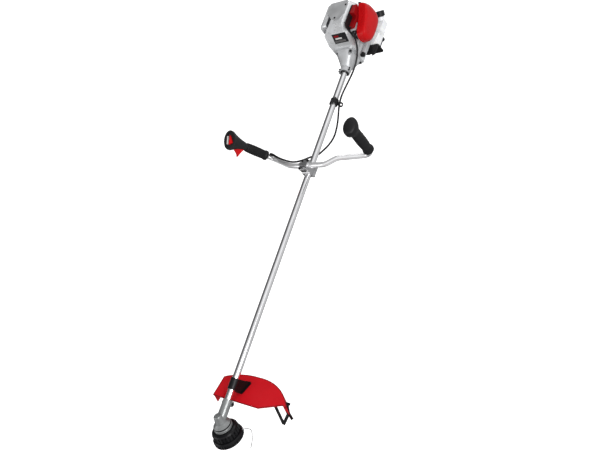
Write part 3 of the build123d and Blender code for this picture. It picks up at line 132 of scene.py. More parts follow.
def build_world():
    """A pale surround for the camera, and for light and reflections a bright studio with dark screens."""
    world = bpy.data.worlds.new("studio")
    SCENE.world = world
    world.use_nodes = True
    tree = world.node_tree
    tree.nodes.clear()
    place = tree.nodes.new("ShaderNodeTexCoord")

    def screen(towards, inner, outer, dark):
        """A soft round screen in one direction: dark inside the inner angle, gone past the outer."""
        facing = tree.nodes.new("ShaderNodeVectorMath")
        facing.operation = "DOT_PRODUCT"
        facing.inputs[1].default_value = Vector(towards).normalized()
        tree.links.new(place.outputs["Generated"], facing.inputs[0])
        fade = tree.nodes.new("ShaderNodeMapRange")
        fade.interpolation_type = "SMOOTHSTEP"
        fade.inputs["From Min"].default_value = math.cos(math.radians(outer))
        fade.inputs["From Max"].default_value = math.cos(math.radians(inner))
        fade.inputs["To Min"].default_value = 1.0
        fade.inputs["To Max"].default_value = dark
        tree.links.new(facing.outputs["Value"], fade.inputs["Value"])
        return fade.outputs[0]

    split = tree.nodes.new("ShaderNodeSeparateXYZ")
    tree.links.new(place.outputs["Generated"], split.inputs[0])
    height = tree.nodes.new("ShaderNodeMath")
    height.operation = "MULTIPLY_ADD"
    height.inputs[1].default_value = 0.5
    height.inputs[2].default_value = 0.5
    tree.links.new(split.outputs["Z"], height.inputs[0])
    bands = tree.nodes.new("ShaderNodeValToRGB")
    bands.color_ramp.interpolation = "EASE"
    for i, (where, value) in enumerate(SKY_STOPS):
        stop = bands.color_ramp.elements[i] if i < 2 else bands.color_ramp.elements.new(where)
        stop.position = where
        stop.color = (value, value, value * 1.01, 1)
    tree.links.new(height.outputs[0], bands.inputs[0])
    level = bands.outputs[0]
    for entry in SCREENS:
        dimmed = tree.nodes.new("ShaderNodeVectorMath")
        dimmed.operation = "SCALE"
        tree.links.new(level, dimmed.inputs[0])
        tree.links.new(screen(*entry), dimmed.inputs["Scale"])
        level = dimmed.outputs[0]
    studio = tree.nodes.new("ShaderNodeBackground")
    studio.inputs["Strength"].default_value = STUDIO_STRENGTH
    tree.links.new(level, studio.inputs["Color"])
    pale = tree.nodes.new("ShaderNodeBackground")
    pale.inputs["Color"].default_value = (SURROUND, SURROUND, SURROUND, 1)
    mix = tree.nodes.new("ShaderNodeMixShader")
    seen = tree.nodes.new("ShaderNodeLightPath")
    out = tree.nodes.new("ShaderNodeOutputWorld")
    tree.links.new(seen.outputs["Is Camera Ray"], mix.inputs[0])
    tree.links.new(studio.outputs[0], mix.inputs[1])
    tree.links.new(pale.outputs[0], mix.inputs[2])
    tree.links.new(mix.outputs[0], out.inputs["Surface"])


def build_floor():
    """A wide pale floor well below the machine, which the metal doesn't reflect."""
    mesh = bpy.data.meshes.new("floor")
    signs = ((-1, -1), (1, -1), (1, 1), (-1, 1))
    corners = [(x * FLOOR_REACH, y * FLOOR_REACH, FLOOR_HEIGHT) for x, y in signs]
    mesh.from_pydata(corners, [], [(0, 1, 2, 3)])
    floor = bpy.data.objects.new("floor", mesh)
    SCENE.collection.objects.link(floor)
    material = bpy.data.materials.new("floor")
    material.use_nodes = True
    shader = material.node_tree.nodes["Principled BSDF"]
    shader.inputs["Base Color"].default_value = (0.86, 0.86, 0.86, 1)
    shader.inputs["Roughness"].default_value = 0.9
    shader.inputs["Emission Color"].default_value = (1, 1, 1, 1)
    shader.inputs["Emission Strength"].default_value = 0.62
    mesh.materials.append(material)
    floor.visible_glossy = False
    floor.visible_diffuse = False


place_camera()
build_world()
build_floor()
add_light("key", (-2.8, 1.5, 1.7), (0, 0.4, 0), 1.8, 84)
add_light("fill", (2.4, 2.4, 2.0), (0, 0.7, 0), 2.0, 18)
add_light("back", (0.5, -2.6, 1.6), (0, 0.0, 0), 1.6, 18)
SCENE.view_settings.view_transform = "Standard"


# ---------------------------------------------------------------- materials
NOISE_LOW, NOISE_HIGH = 0.35, 0.65  # most of a noise's values lie between these


def new_material(name, colour, rough, metal=0.0):
    """A material with its node tree and its shader."""
    material = bpy.data.materials.new(name)
    material.use_nodes = True
    shader = material.node_tree.nodes["Principled BSDF"]
    shader.inputs["Base Color"].default_value = (*colour, 1)
    shader.inputs["Roughness"].default_value = rough
    shader.inputs["Metallic"].default_value = metal
    return material, material.node_tree, shader


def noise(tree, scale, detail, stretch=(1, 1, 1)):
    """A noise fixed to the object, drawn out along any axis whose stretch is small."""
    place = tree.nodes.new("ShaderNodeTexCoord")
    mapping = tree.nodes.new("ShaderNodeMapping")
    mapping.inputs["Scale"].default_value = stretch
    texture = tree.nodes.new("ShaderNodeTexNoise")
    texture.inputs["Scale"].default_value = scale
    texture.inputs["Detail"].default_value = detail
    tree.links.new(place.outputs["Object"], mapping.inputs[0])
    tree.links.new(mapping.outputs[0], texture.inputs["Vector"])
    return texture.outputs["Fac"]


def spread(tree, source, low, high):
    """Turns a noise into a range between two numbers."""
    ramp = tree.nodes.new("ShaderNodeMapRange")
    ramp.inputs["From Min"].default_value = NOISE_LOW
    ramp.inputs["From Max"].default_value = NOISE_HIGH
    ramp.inputs["To Min"].default_value = low
    ramp.inputs["To Max"].default_value = high
    tree.links.new(source, ramp.inputs["Value"])
    return ramp.outputs[0]


def vary_colour(tree, shader, source, dark, light):
    """A base colour that follows a noise from one colour to another."""
    ramp = tree.nodes.new("ShaderNodeValToRGB")
    ramp.color_ramp.elements[0].position = NOISE_LOW
    ramp.color_ramp.elements[1].position = NOISE_HIGH
    ramp.color_ramp.elements[0].color = (*dark, 1)
    ramp.color_ramp.elements[1].color = (*light, 1)
    tree.links.new(source, ramp.inputs[0])
    tree.links.new(ramp.outputs[0], shader.inputs["Base Color"])


def add_bump(tree, shader, source, depth, strength):
    """Surface relief from a noise, with its depth in metres."""
    bump = tree.nodes.new("ShaderNodeBump")
    bump.inputs["Strength"].default_value = strength
    bump.inputs["Distance"].default_value = depth
    tree.links.new(source, bump.inputs["Height"])
    tree.links.new(bump.outputs[0], shader.inputs["Normal"])


def shade(colour, factor):
    """A colour made darker or lighter."""
    return tuple(min(1.0, c * factor) for c in colour)


def brushed(name, colour, rough, stretch, scale=900, wear=0.10, metal=1.0):
    """Drawn or turned metal with fine lines along the axis whose stretch is small."""
    material, tree, shader = new_material(name, colour, rough, metal)
    lines = noise(tree, scale, 3, stretch)
    broad = noise(tree, 14, 4)
    tree.links.new(spread(tree, lines, rough - wear, rough + wear), shader.inputs["Roughness"])
    vary_colour(tree, shader, broad, shade(colour, 0.90), colour)
    add_bump(tree, shader, lines, 0.00004, 0.25)
    return material


def cast(name, colour, rough, metal, grain=420, depth=0.00018):
    """A casting with a fine orange-peel surface and cloudy colour."""
    material, tree, shader = new_material(name, colour, rough, metal)
    fine = noise(tree, grain, 3)
    broad = noise(tree, 22, 5)
    tree.links.new(spread(tree, broad, rough - 0.08, rough + 0.10), shader.inputs["Roughness"])
    vary_colour(tree, shader, broad, shade(colour, 0.84), colour)
    add_bump(tree, shader, fine, depth, 0.35)
    return material


def moulded(name, colour, rough, grain=700, depth=0.00010, coat=0.0, cloud=0.9, specular=0.5):
    """Moulded plastic with a fine grain and slight colour variation."""
    material, tree, shader = new_material(name, colour, rough)
    shader.inputs["Coat Weight"].default_value = coat
    shader.inputs["Coat Roughness"].default_value = 0.12
    shader.inputs["Specular IOR Level"].default_value = specular
    fine = noise(tree, grain, 3)
    broad = noise(tree, 18, 4)
    tree.links.new(spread(tree, broad, rough - 0.05, rough + 0.08), shader.inputs["Roughness"])
    vary_colour(tree, shader, broad, shade(colour, cloud), colour)
    add_bump(tree, shader, fine, depth, 0.3)
    return material


# How far a brushed metal's lines are drawn out along each axis.
ALONG_X, ALONG_Y = (0.05, 1, 1), (1, 0.01, 1)
LOOKS = {
    "tube": brushed("polished_aluminium", (0.93, 0.93, 0.94), 0.13, ALONG_Y, wear=0.03),
    "bar": brushed("bright_steel", (0.88, 0.88, 0.89), 0.22, ALONG_X, wear=0.05, metal=0.60),
    "steel": brushed("machined_steel", (0.62, 0.62, 0.64), 0.32, ALONG_Y),
    "cast": cast("cast_aluminium", (0.57, 0.58, 0.59), 0.48, 0.50),
    "clamp": cast("clamp_casting", (0.55, 0.55, 0.56), 0.28, 0.90),
    "gear": cast("gear_case_paint", (0.27, 0.28, 0.28), 0.34, 0.50),
    "silver": cast("silver_paint", (0.80, 0.81, 0.82), 0.26, 0.40, 260, 0.00006),
    "plate": cast("grey_cover", (0.42, 0.425, 0.43), 0.36, 0.20, 380, 0.0001),
    "black": moulded("black_nylon", (0.010, 0.010, 0.011), 0.38, cloud=0.75, specular=0.28),
    "black_steel": cast("black_oxide", (0.010, 0.010, 0.011), 0.38, 0.6, 500, 0.00008),
    "head": moulded("head_nylon", (0.005, 0.005, 0.006), 0.26, depth=0.00004, cloud=0.7, specular=0.22),
    "red": moulded("red_cover", (0.54, 0.005, 0.007), 0.30, 520, 0.00006, cloud=0.88, specular=0.16),
    "guard": moulded("guard_red", (0.62, 0.006, 0.013), 0.46, 460, 0.00008, cloud=0.92, specular=0.18),
    # The guard's red darkened: painted shade for the bead round the guard's edge.
    "guard_edge_shade": moulded("guard_edge_shade", (0.24, 0.003, 0.006), 0.50, 460, 0.00006, specular=0.25),
    # A darker copy of the cover's red: on the air box it is painted shade, on the label's red bar it is the
    # print's own colour.
    "shade_and_print_red": moulded("air_box_shade_and_label_red", (0.26, 0.003, 0.005), 0.34, 520, 0.00006, cloud=0.85, specular=0.2),
    "pale": moulded("pale_switch", (0.50, 0.50, 0.48), 0.40),
    "pale_bar": moulded("label_light", (0.62, 0.61, 0.59), 0.40),
    "label_grey": moulded("label_grey", (0.09, 0.085, 0.085), 0.40),
    "rope": moulded("starter_cord", (0.03, 0.03, 0.032), 0.6, 1500, 0.0003),
    "rubber": moulded("grip_rubber", (0.008, 0.008, 0.009), 0.52, 900, 0.00022, cloud=0.7, specular=0.25),
    "grip_shell": moulded("grip_shell", (0.012, 0.012, 0.013), 0.36, 700, 0.00008, cloud=0.75, specular=0.3),
    "cable": moulded("cable_jacket", (0.010, 0.010, 0.011), 0.34, 1200, 0.00004, cloud=0.8, specular=0.3),
    "line": moulded("line_nylon", (0.10, 0.10, 0.10), 0.40, 1200, 0.00003, specular=0.3),
    "spool": moulded("spool_nylon", (0.25, 0.25, 0.25), 0.45),
    "foam": moulded("filter_foam", (0.06, 0.06, 0.06), 0.9, 700, 0.0008),
    "bronze": brushed("bronze_bush", (0.60, 0.42, 0.22), 0.35, ALONG_Y),
    "ceramic": moulded("plug_ceramic", (0.82, 0.80, 0.76), 0.20, 600, 0.00002),
    "bulb": moulded("primer_bulb", (0.62, 0.60, 0.54), 0.25, 600, 0.00002, coat=0.3),
}


def tank_material():
    """Translucent white polythene with faint clouds."""
    material, tree, shader = new_material("tank_polythene", (0.92, 0.93, 0.94), 0.34)
    shader.inputs["Subsurface Weight"].default_value = 0.35
    shader.inputs["Subsurface Radius"].default_value = (0.02, 0.02, 0.018)
    shader.inputs["Subsurface Scale"].default_value = 0.4
    broad = noise(tree, 11, 4)
    vary_colour(tree, shader, broad, (0.86, 0.88, 0.89), (0.94, 0.95, 0.96))
    tree.links.new(spread(tree, broad, 0.28, 0.42), shader.inputs["Roughness"])
    add_bump(tree, shader, noise(tree, 420, 3), 0.0001, 0.25)
    return material


LOOKS["tank"] = tank_material()

NODE_LOOKS = {
    "tube": ("shaft_tube",),
    "bar": ("handlebar",),
    "steel": ("drive_shaft", "clutch_drum", "bevel_pinion", "bevel_gear", "output_spindle", "bump_spring",
              "crankshaft", "clutch_shoes", "carb_lever", "muffler", "line_eyelets"),
    "cast": ("clutch_housing", "crankcase", "cylinder_block", "carburettor", "flywheel", "piston"),
    "clamp": ("handlebar_clamp", "clamp_knob"),
    "gear": ("gear_case", "flange_holders", "grease_plug"),
    "silver": ("fan_cover", "top_cover", "recoil_housing", "muffler_guard"),
    "plate": ("cover_plate",),
    "black": ("intake_insulator", "choke_lever", "fuel_cap", "tank_stand", "oil_cap", "starter_handle",
              "collar_liner", "harness_clamp"),
    "black_steel": ("guard_bracket", "line_cutter", "clamp_bolts", "engine_screws"),
    "head": ("head_housing", "head_cover", "bump_knob"),
    "red": ("air_filter_cover", "throttle_trigger", "throttle_lockout"),
    "guard": ("guard",),
    # The air box's dark red is painted shade.
    "shade_and_print_red": ("air_box",),
    "pale": ("stop_switch",),
    "rubber": ("left_grip",),
    "grip_shell": ("throttle_grip",),
    "cable": ("throttle_cable",),
    "line": ("trimmer_line",),
    "spool": ("line_spool",),
    "foam": ("air_filter_element",),
    "bronze": ("shaft_bearings",),
    "ceramic": ("spark_plug",),
    "bulb": ("primer_bulb",),
    "tank": ("fuel_tank",),
}
LOOK_OF = {node: look for look, nodes in NODE_LOOKS.items() for node in nodes}
for node, look in LOOK_OF.items():
    for slot in NODES[node].material_slots:
        slot.material = LOOKS[look]


# ---------------------------------------------------------------- rounded copies of CAD nodes
WELD = 2e-6  # points nearer than this are one point
FLAT_ANGLE = math.radians(1.0)
EDGE_ANGLE = math.radians(32)


def add_rounded(node, radius):
    """A copy of a CAD node with its edges rounded, which stands for it."""
    source = NODES[node]
    mesh = source.data.copy()
    piece = bpy.data.objects.new(node + "_shell", mesh)
    SCENE.collection.objects.link(piece)
    work = bmesh.new()
    work.from_mesh(mesh)
    bmesh.ops.remove_doubles(work, verts=work.verts, dist=WELD)
    bmesh.ops.dissolve_limit(work, angle_limit=FLAT_ANGLE, verts=work.verts, edges=work.edges)
    work.to_mesh(mesh)
    work.free()
    if "custom_normal" in mesh.attributes:
        mesh.attributes.remove(mesh.attributes["custom_normal"])
    for face in mesh.polygons:
        face.use_smooth = True
    bevel = piece.modifiers.new("edge", "BEVEL")
    bevel.width, bevel.segments = radius, 2
    bevel.limit_method, bevel.angle_limit = "ANGLE", EDGE_ANGLE
    bevel.use_clamp_overlap = True
    normals = piece.modifiers.new("normals", "WEIGHTED_NORMAL")
    normals.keep_sharp = True
    mesh.materials.clear()
    mesh.materials.append(LOOKS[LOOK_OF[node]])
    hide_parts(node)
    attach(piece, source["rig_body"])


EDGE_RADII = {
    "fan_cover": 0.0022, "top_cover": 0.0020, "cover_plate": 0.0010, "recoil_housing": 0.0014,
    "muffler_guard": 0.0010, "clutch_housing": 0.0018, "crankcase": 0.0016, "air_box": 0.0016,
    "fuel_tank": 0.0030, "fuel_cap": 0.0012, "tank_stand": 0.0012, "oil_cap": 0.0010,
    "intake_insulator": 0.0008, "carburettor": 0.0010, "choke_lever": 0.0005, "carb_lever": 0.0005,
    "starter_handle": 0.0030, "engine_screws": 0.0007, "clamp_bolts": 0.0006, "harness_clamp": 0.0010,
    "handlebar_clamp": 0.0016, "clamp_knob": 0.0010, "guard_bracket": 0.0014, "guard": 0.0009,
    "line_cutter": 0.0007, "gear_case": 0.0018, "grease_plug": 0.0008, "flange_holders": 0.0006,
    "throttle_trigger": 0.0014, "throttle_lockout": 0.0009, "stop_switch": 0.0008, "throttle_grip": 0.0022,
    "bump_knob": 0.0020,
}
for node, radius in EDGE_RADII.items():
    add_rounded(node, radius)


# ---------------------------------------------------------------- mesh tools
def add_piece(name, mesh, look, body, smooth=True):
    """Puts a mesh in the scene with a look from LOOKS, riding on a body."""
    piece = bpy.data.objects.new(name, mesh)
    SCENE.collection.objects.link(piece)
    mesh.materials.append(LOOKS[look])
    if smooth:
        for face in mesh.polygons:
            face.use_smooth = True
    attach(piece, body)
    return piece


def loft_mesh(name, rings):
    """A skin over rings of points with flat ends, each ring the same length, in order along the piece."""
    count = len(rings[0])
    points = [tuple(p) for ring in rings for p in ring]
    faces = []
    for r in range(len(rings) - 1):
        for i in range(count):
            a, b = r * count + i, r * count + (i + 1) % count
            faces.append((a, b, b + count, a + count))
    faces.append(tuple(reversed(range(count))))
    faces.append(tuple(range((len(rings) - 1) * count, len(rings) * count)))
    mesh = bpy.data.meshes.new(name)
    mesh.from_pydata(points, [], faces)
    work = bmesh.new()
    work.from_mesh(mesh)
    bmesh.ops.recalc_face_normals(work, faces=work.faces)
    work.to_mesh(mesh)
    work.free()
    return mesh


def box_mesh(name, centre, half, x_dir, y_dir, radius, segments):
    """A block with rounded edges, given by its centre, half sizes and two of its directions."""
    x_dir, y_dir = x_dir.normalized(), y_dir.normalized()
    z_dir = x_dir.cross(y_dir)
    work = bmesh.new()
    bmesh.ops.create_cube(work, size=2.0)
    for vert in work.verts:
        x, y, z = (vert.co[i] * half[i] for i in range(3))
        vert.co = centre + x_dir * x + y_dir * y + z_dir * z
    bmesh.ops.bevel(work, geom=work.edges[:], offset=radius, segments=segments, affect="EDGES", profile=0.5)
    mesh = bpy.data.meshes.new(name)
    work.to_mesh(mesh)
    work.free()
    return mesh


def join_meshes(name, meshes):
    """One mesh made of several, which are deleted."""
    work = bmesh.new()
    for mesh in meshes:
        work.from_mesh(mesh)
        bpy.data.meshes.remove(mesh)
    joined = bpy.data.meshes.new(name)
    work.to_mesh(joined)
    work.free()
    return joined


def smooth_route(points):
    """Points along a smooth curve that has the given points as its control points."""
    data = bpy.data.curves.new("route", "CURVE")
    data.dimensions = "3D"
    spline = data.splines.new("NURBS")
    spline.points.add(len(points) - 1)
    for control, place in zip(spline.points, points):
        control.co = (*place, 1)
    spline.order_u = 3
    spline.use_endpoint_u = True
    spline.resolution_u = 8
    carrier = bpy.data.objects.new("route", data)
    SCENE.collection.objects.link(carrier)
    line = bpy.data.meshes.new_from_object(carrier)
    places = [vert.co.copy() for vert in line.vertices]
    bpy.data.meshes.remove(line)
    bpy.data.objects.remove(carrier)
    bpy.data.curves.remove(data)
    return places


def tube_mesh(name, path, radius, sides=16, swell=None):
    """A round tube along a path, without twist. swell gives what each point adds to the radius."""
    rings = []
    side = (path[1] - path[0]).orthogonal().normalized()
    for i, place in enumerate(path):
        ahead = path[min(i + 1, len(path) - 1)] - path[max(i - 1, 0)]
        ahead.normalize()
        side = (side - ahead * side.dot(ahead)).normalized()
        other = ahead.cross(side)
        r = radius + (swell(i) if swell else 0)
        rings.append([
            place + side * (math.cos(a) * r) + other * (math.sin(a) * r)
            for a in (math.tau * k / sides for k in range(sides))
        ])
    return loft_mesh(name, rings)


# ---------------------------------------------------------------- throttle cable and trimmer line
CABLE_ROUTE = [at(*p) for p in (
    (-74, -270.4, 105), (-72, -258, 68), (-64, -232, 32), (-50, -196, 4), (-38, -155, -8), (-30, -110, -9),
    (-26, -66, -6), (-24.5, -24, -4), (-24, 18, -12), (-23, 58, -31), (-24, 100, -42), (-25, 146, -46),
    (-20, 190, -38), (-10, 226, -26), (7, 252, -22), (23, 275, 2), (44, 297, 14), (88, 309, 20),
    (136, 302, 34), (184, 284, 32), (226, 262, 16), (252, 249, 2), (268, 243, -4),
)]
CABLE_RADIUS = 0.0040
TAPER_START_X = at(150, 0, 0).x
TAPER_RADIUS, TAPER_GAIN = 0.0043, 0.0037

# The cable has no parent, because it runs between two bodies.
cable_path = smooth_route(CABLE_ROUTE)
cable = add_piece("control_cable", tube_mesh("control_cable", cable_path, CABLE_RADIUS), "cable", "chassis")
cable.parent = None
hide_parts("throttle_cable")
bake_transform(cable)

# The tapered sleeve covers the cable's last stretch, and is widest where it enters the grip.
taper_path = cable_path[next(i for i, place in enumerate(cable_path) if place.x > TAPER_START_X):]
taper = add_piece("cable_taper", tube_mesh(
    "cable_taper", taper_path, TAPER_RADIUS, 24, lambda i: TAPER_GAIN * (i / (len(taper_path) - 1)) ** 1.3,
), "rubber", "handlebar")

LINE_ROUTE = [at_head(*p) for p in (
    (-38.9, 41.7, 71), (-60, 53, 71), (-82, 47, 71), (-99, 28, 71), (-116, 8, 73), (-128, -16, 75),
)]
LINE_RADIUS = 0.0013
line_path = smooth_route(LINE_ROUTE)
line = add_piece("cut_line", tube_mesh("cut_line", line_path, LINE_RADIUS, 12), "line", "cutting_head")
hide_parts("trimmer_line")


# ---------------------------------------------------------------- bump head
def add_head_blocks(name, count, radius, down, half):
    """Small upright blocks set evenly round the head's spindle, at a height in millimetres down it."""
    blocks = []
    for k in range(count):
        a = math.tau * k / count
        out = RIGHT * math.cos(a) + BACK_SPINDLE * math.sin(a)
        centre = at_head(0, 0, down) + out * radius
        blocks.append(box_mesh("block", centre, half, out, DOWN_SPINDLE, 0.0005, 2))
    add_piece(name, join_meshes(name, blocks), "head", "cutting_head")


def add_turned(name, start, axis, profile, look, body, sides=48):
    """A round piece: profile gives the distance along the axis and the radius, in millimetres."""
    axis = axis.normalized()
    side = axis.orthogonal().normalized()
    other = axis.cross(side)
    rings = [
        [start + (axis * s + side * (r * math.cos(a)) + other * (r * math.sin(a))) / 1000
         for a in (math.tau * k / sides for k in range(sides))]
        for s, r in profile
    ]
    add_piece(name, loft_mesh(name, rings), look, body)


add_head_blocks("head_ribs", 24, 0.0498, 48.5, (0.0008, 0.0085, 0.0016))
add_head_blocks("rim_lugs", 36, 0.0568, 76, (0.0010, 0.0052, 0.0019))
# A black ring painted in as shadow: it darkens the gap between the gear case's two light discs, where shade
# falls.
add_turned("gap_shadow_ring", at_head(0, 0, 14.0), DOWN_SPINDLE, (
    (0, 30), (0, 33.0), (0.4, 33.6), (4.6, 33.6), (5.0, 33.0), (5.0, 30),
), "black_steel", "chassis", 96)


# ---------------------------------------------------------------- engine label
def build_label():
    """A black plate on the fan cover's leaning face with plain red and light bars, no lettering."""
    lean = Vector((0, -18, 52)).normalized()
    face = RIGHT.cross(lean).normalized() * -1
    middle = at(-14, -255.0, 110) + face * 0.0006
    half_thick, bar_rise = 0.0004, 0.0005

    def add_bar(name, x, up, half_x, half_up, look, rise):
        centre = middle + RIGHT * (x / 1000) + lean * (up / 1000) + face * rise
        mesh = box_mesh(name, centre, (half_x / 1000, half_up / 1000, half_thick), RIGHT, lean, 0.0002, 1)
        add_piece(name, mesh, look, "chassis", smooth=False)

    add_bar("label_plate", 0, 0, 36, 22, "black", 0.0)
    add_bar("label_red_bar", 16, 11, 12, 4.0, "shade_and_print_red", bar_rise)
    add_bar("label_light_bar", 8, 0, 17, 3.2, "pale_bar", bar_rise)
    add_bar("label_low_bar", 4, -13, 28, 4.6, "label_grey", bar_rise)


build_label()


# ---------------------------------------------------------------- pieces on the engine
add_turned("cable_boot", at(-75, -285, 107), Vector((0.02, 0.75, -0.66)), (
    (0, 3.0), (1, 6.4), (3.5, 9.0), (7.5, 10.4), (12, 10.2), (16, 8.4), (19, 6.4), (23, 5.4), (30, 4.9),
), "head", "chassis")
add_turned("idle_screw", at(-78.2, -290, 104), -RIGHT, (
    (0, 3.6), (3.2, 3.6), (4, 3.0),
), "steel", "chassis")

# The filter cover's outline seen from the left, forward and up in millimetres.
COVER_BODY = NODES["air_filter_cover"]["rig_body"]
COVER_MIDDLE = (-349, 72)
COVER_OUTLINE = (
    (-384, 135), (-397, 143), (-406, 133), (-424, 96), (-426, 44), (-405, 15), (-330, 12), (-290, 22),
    (-272, 50), (-272, 82), (-290, 99), (-348, 113),
)


def cut_corners(points, times):
    """A closed outline with its corners cut off again and again until it is round."""
    for _ in range(times):
        finer = []
        for (ay, az), (by, bz) in zip(points, points[1:] + points[:1]):
            for share in (0.25, 0.75):
                finer.append(((1 - share) * ay + share * by, (1 - share) * az + share * bz))
        points = finer
    return points


def build_filter_cover():
    """The air filter's cover, a hollow dome whose crest lies toward its front and top edge."""
    outline = cut_corners(list(COVER_OUTLINE), 4)
    middle_y, middle_z = COVER_MIDDLE

    def ring(x, share, shift):
        """The outline at x, shrunk to a share of its size and shifted forward and up."""
        return [
            at(x, middle_y + share * (y - middle_y) + shift, middle_z + share * (z - middle_z) + shift)
            for y, z in outline
        ]

    inside = (
        (-123, 0.16, 4), (-121.5, 0.60, 7), (-117, 0.84, 6), (-104, 0.97, 2.2), (-88, 0.99, 0),
        (-81.6, 0.99, 0),
    )
    outside = (
        (-81.6, 1.02, 0), (-82.4, 1.045, 0), (-84.6, 1.05, 0), (-86, 1.04, 0), (-92, 1.04, 0.6),
        (-104, 1.02, 2.4), (-112, 0.985, 4.4), (-118, 0.93, 6.6), (-121.5, 0.87, 8.4), (-123.8, 0.79, 9.6),
        (-125.2, 0.66, 9.6), (-125.9, 0.45, 7.5), (-126.0, 0.18, 4.5),
    )
    shell = loft_mesh("filter_cover", [ring(*row) for row in inside + outside])
    piece = add_piece("filter_cover", shell, "red", COVER_BODY)
    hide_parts("air_filter_cover")


build_filter_cover()
add_turned("cover_latch", at(-80, -402, 142), -RIGHT, (
    (0, 3.6), (1, 4.6), (9, 4.6), (10.5, 3.8), (11, 2.0),
), "black", COVER_BODY)


def build_starter_rope():
    """The starter's rope, short and hidden at rest."""
    y, z, inner, outer, steps, radius = -411, -12, 44.0, 62.0, 80, 0.0017
    rope_path = [at(inner + (outer - inner) * k / steps, y, z) for k in range(steps + 1)]
    tube = tube_mesh("starter_rope", rope_path, radius, 12)
    rope = add_piece("starter_rope", tube, "rope", "chassis")
    rope.parent = None
    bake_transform(rope)


build_starter_rope()


# ---------------------------------------------------------------- guard lip
def arc_points(a, b, c, count):
    """Points on the circle through three plane points, from the first to the last."""
    (ax, ay), (bx, by), (cx, cy) = a, b, c
    d = 2 * (ax * (by - cy) + bx * (cy - ay) + cx * (ay - by))
    ux = ((ax**2 + ay**2) * (by - cy) + (bx**2 + by**2) * (cy - ay) + (cx**2 + cy**2) * (ay - by)) / d
    uy = ((ax**2 + ay**2) * (cx - bx) + (bx**2 + by**2) * (ax - cx) + (cx**2 + cy**2) * (bx - ax)) / d
    radius = math.hypot(ax - ux, ay - uy)
    first, last = math.atan2(ay - uy, ax - ux), math.atan2(cy - uy, cx - ux)
    middle = math.atan2(by - uy, bx - ux)
    if not min(first, last) < middle < max(first, last):
        last += math.tau if last < first else -math.tau
    return [
        (ux + radius * math.cos(t), uy + radius * math.sin(t))
        for t in (first + (last - first) * k / count for k in range(count + 1))
    ]


def build_guard_lip():
    """A raised bead round the edge of the guard's plate, in a darker red that is painted shade along the
    edge.
    """
    outline = [(111, 84), (-128, 82), (-216, 121)]
    outline += arc_points((-240, 112), (-150, 185), (-24, 212), 28)
    outline += arc_points((-24, 212), (60, 206), (136, 178), 16)[1:]
    centre = Vector((0, 140))
    inset, height, radius = 1.6, -18.2, 0.0015
    path = []
    for x, y in outline:
        inward = (centre - Vector((x, y))).normalized() * inset
        path.append(at_head(x + inward.x, y + inward.y, height))
    lip = tube_mesh("guard_lip", path + path[:1], radius, 8)
    add_piece("guard_lip", lip, "guard_edge_shade", "chassis")


build_guard_lip()


# ---------------------------------------------------------------- grips
def grip_frame(corner, end):
    """Origin and directions of a grip: leftward, across that, and toward its free end."""
    axis = (end - corner).normalized()
    x_dir = -RIGHT
    x_dir = (x_dir - axis * x_dir.dot(axis)).normalized()
    return corner, x_dir, axis.cross(x_dir), axis


RIGHT_GRIP = grip_frame(at(279, 243, -38), at(333, 287, 194))
LEFT_GRIP = grip_frame(at(-279, 272, -16), at(-333, 302, 227))


def grip_ring(grip, s, radius_x, radius_y, count, ripple=lambda k: 0.0):
    """A ring across a grip, in millimetres, s from its corner. ripple gives what each point adds."""
    origin, x_dir, y_dir, axis = grip
    ring = []
    for k in range(count):
        a = math.tau * k / count
        extra = ripple(k)
        ring.append(
            origin + (axis * s + x_dir * ((radius_x + extra) * math.cos(a))
                      + y_dir * ((radius_y + extra) * math.sin(a))) / 1000
        )
    return ring


def ease(value, low, high):
    """A smooth step from 0 at low to 1 at high."""
    t = min(1.0, max(0.0, (value - low) / (high - low)))
    return t * t * (3 - 2 * t)


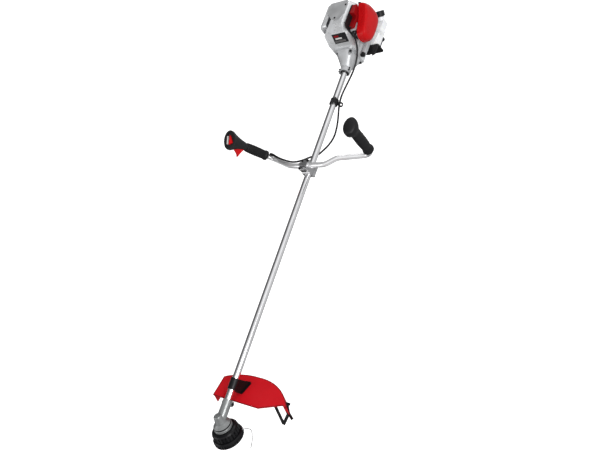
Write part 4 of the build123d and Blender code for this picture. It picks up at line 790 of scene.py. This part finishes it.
def build_left_grip():
    """A rubber sleeve with a diamond tread, a rolled collar and a smooth oval head."""
    collar = (
        (42.2, 20.2, 20.2), (42.8, 21.4, 21.4), (44.5, 22.4, 22.4), (50, 22.6, 22.6), (54, 22.0, 22.0),
        (57, 20.4, 20.4), (60, 18.6, 18.6),
    )
    count, ridges, pitch, tread = 144, 24, 60, 0.42
    rings = [grip_ring(LEFT_GRIP, s, rx, ry, count) for s, rx, ry in collar]
    for s in range(61, 190):
        base = 18.6 + 1.4 * ease(s, 60, 110) + 0.8 * math.sin(math.pi * ease(s, 60, 190))
        fade = ease(s, 61, 66) * (1 - ease(s, 182, 189))
        rings.append(grip_ring(
            LEFT_GRIP, s, base, base, count,
            lambda k, s=s, fade=fade: tread * fade * math.cos(math.tau * (k * ridges / count + s / pitch))
            * math.cos(math.tau * (k * ridges / count - s / pitch)),
        ))
    head = (
        (191, 20.0, 20.2), (196, 20.2, 21.4), (203, 21.4, 25.2), (210, 23.4, 30.2), (217, 25.2, 34.6),
        (223, 26.0, 36.6), (230, 26.3, 37.2), (236, 26.1, 36.8), (240, 25.3, 35.6), (243.5, 23.2, 33.0),
        (246, 19.6, 28.8), (247.5, 14.0, 21.6), (248.2, 6.0, 10.0),
    )
    rings += [grip_ring(LEFT_GRIP, s, rx, ry, count) for s, rx, ry in head]
    grip = add_piece("left_grip_sleeve", loft_mesh("left_grip_sleeve", rings), "rubber", "handlebar")
    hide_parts("left_grip")


def build_throttle_sleeve():
    """The fluted rubber sleeve on the lower part of the throttle grip."""
    count, flutes = 160, 40
    rings = []
    lower = ((42.0, 12.0), (42.0, 20.4), (42.6, 21.6), (44, 22.2), (49, 22.3), (52.5, 21.8), (54.5, 20.2))
    upper = ((149, 19.0), (150.2, 17.4), (150.4, 12.0))
    for s, r in lower:
        rings.append(grip_ring(RIGHT_GRIP, s, r, r, count))
    for s in (57, 59, 62, 66, 80, 100, 120, 136, 142, 145, 147):
        depth = 0.55 * ease(s, 57, 64) * (1 - ease(s, 140, 147))
        swell = 19.6 + 1.2 * math.sin(math.pi * ease(s, 57, 147))
        rings.append(grip_ring(
            RIGHT_GRIP, s, swell, swell, count,
            lambda k, d=depth: d * math.cos(math.tau * k * flutes / count),
        ))
    for s, r in upper:
        rings.append(grip_ring(RIGHT_GRIP, s, r, r, count))
    add_piece("throttle_sleeve", loft_mesh("throttle_sleeve", rings), "rubber", "handlebar")


build_left_grip()
build_throttle_sleeve()
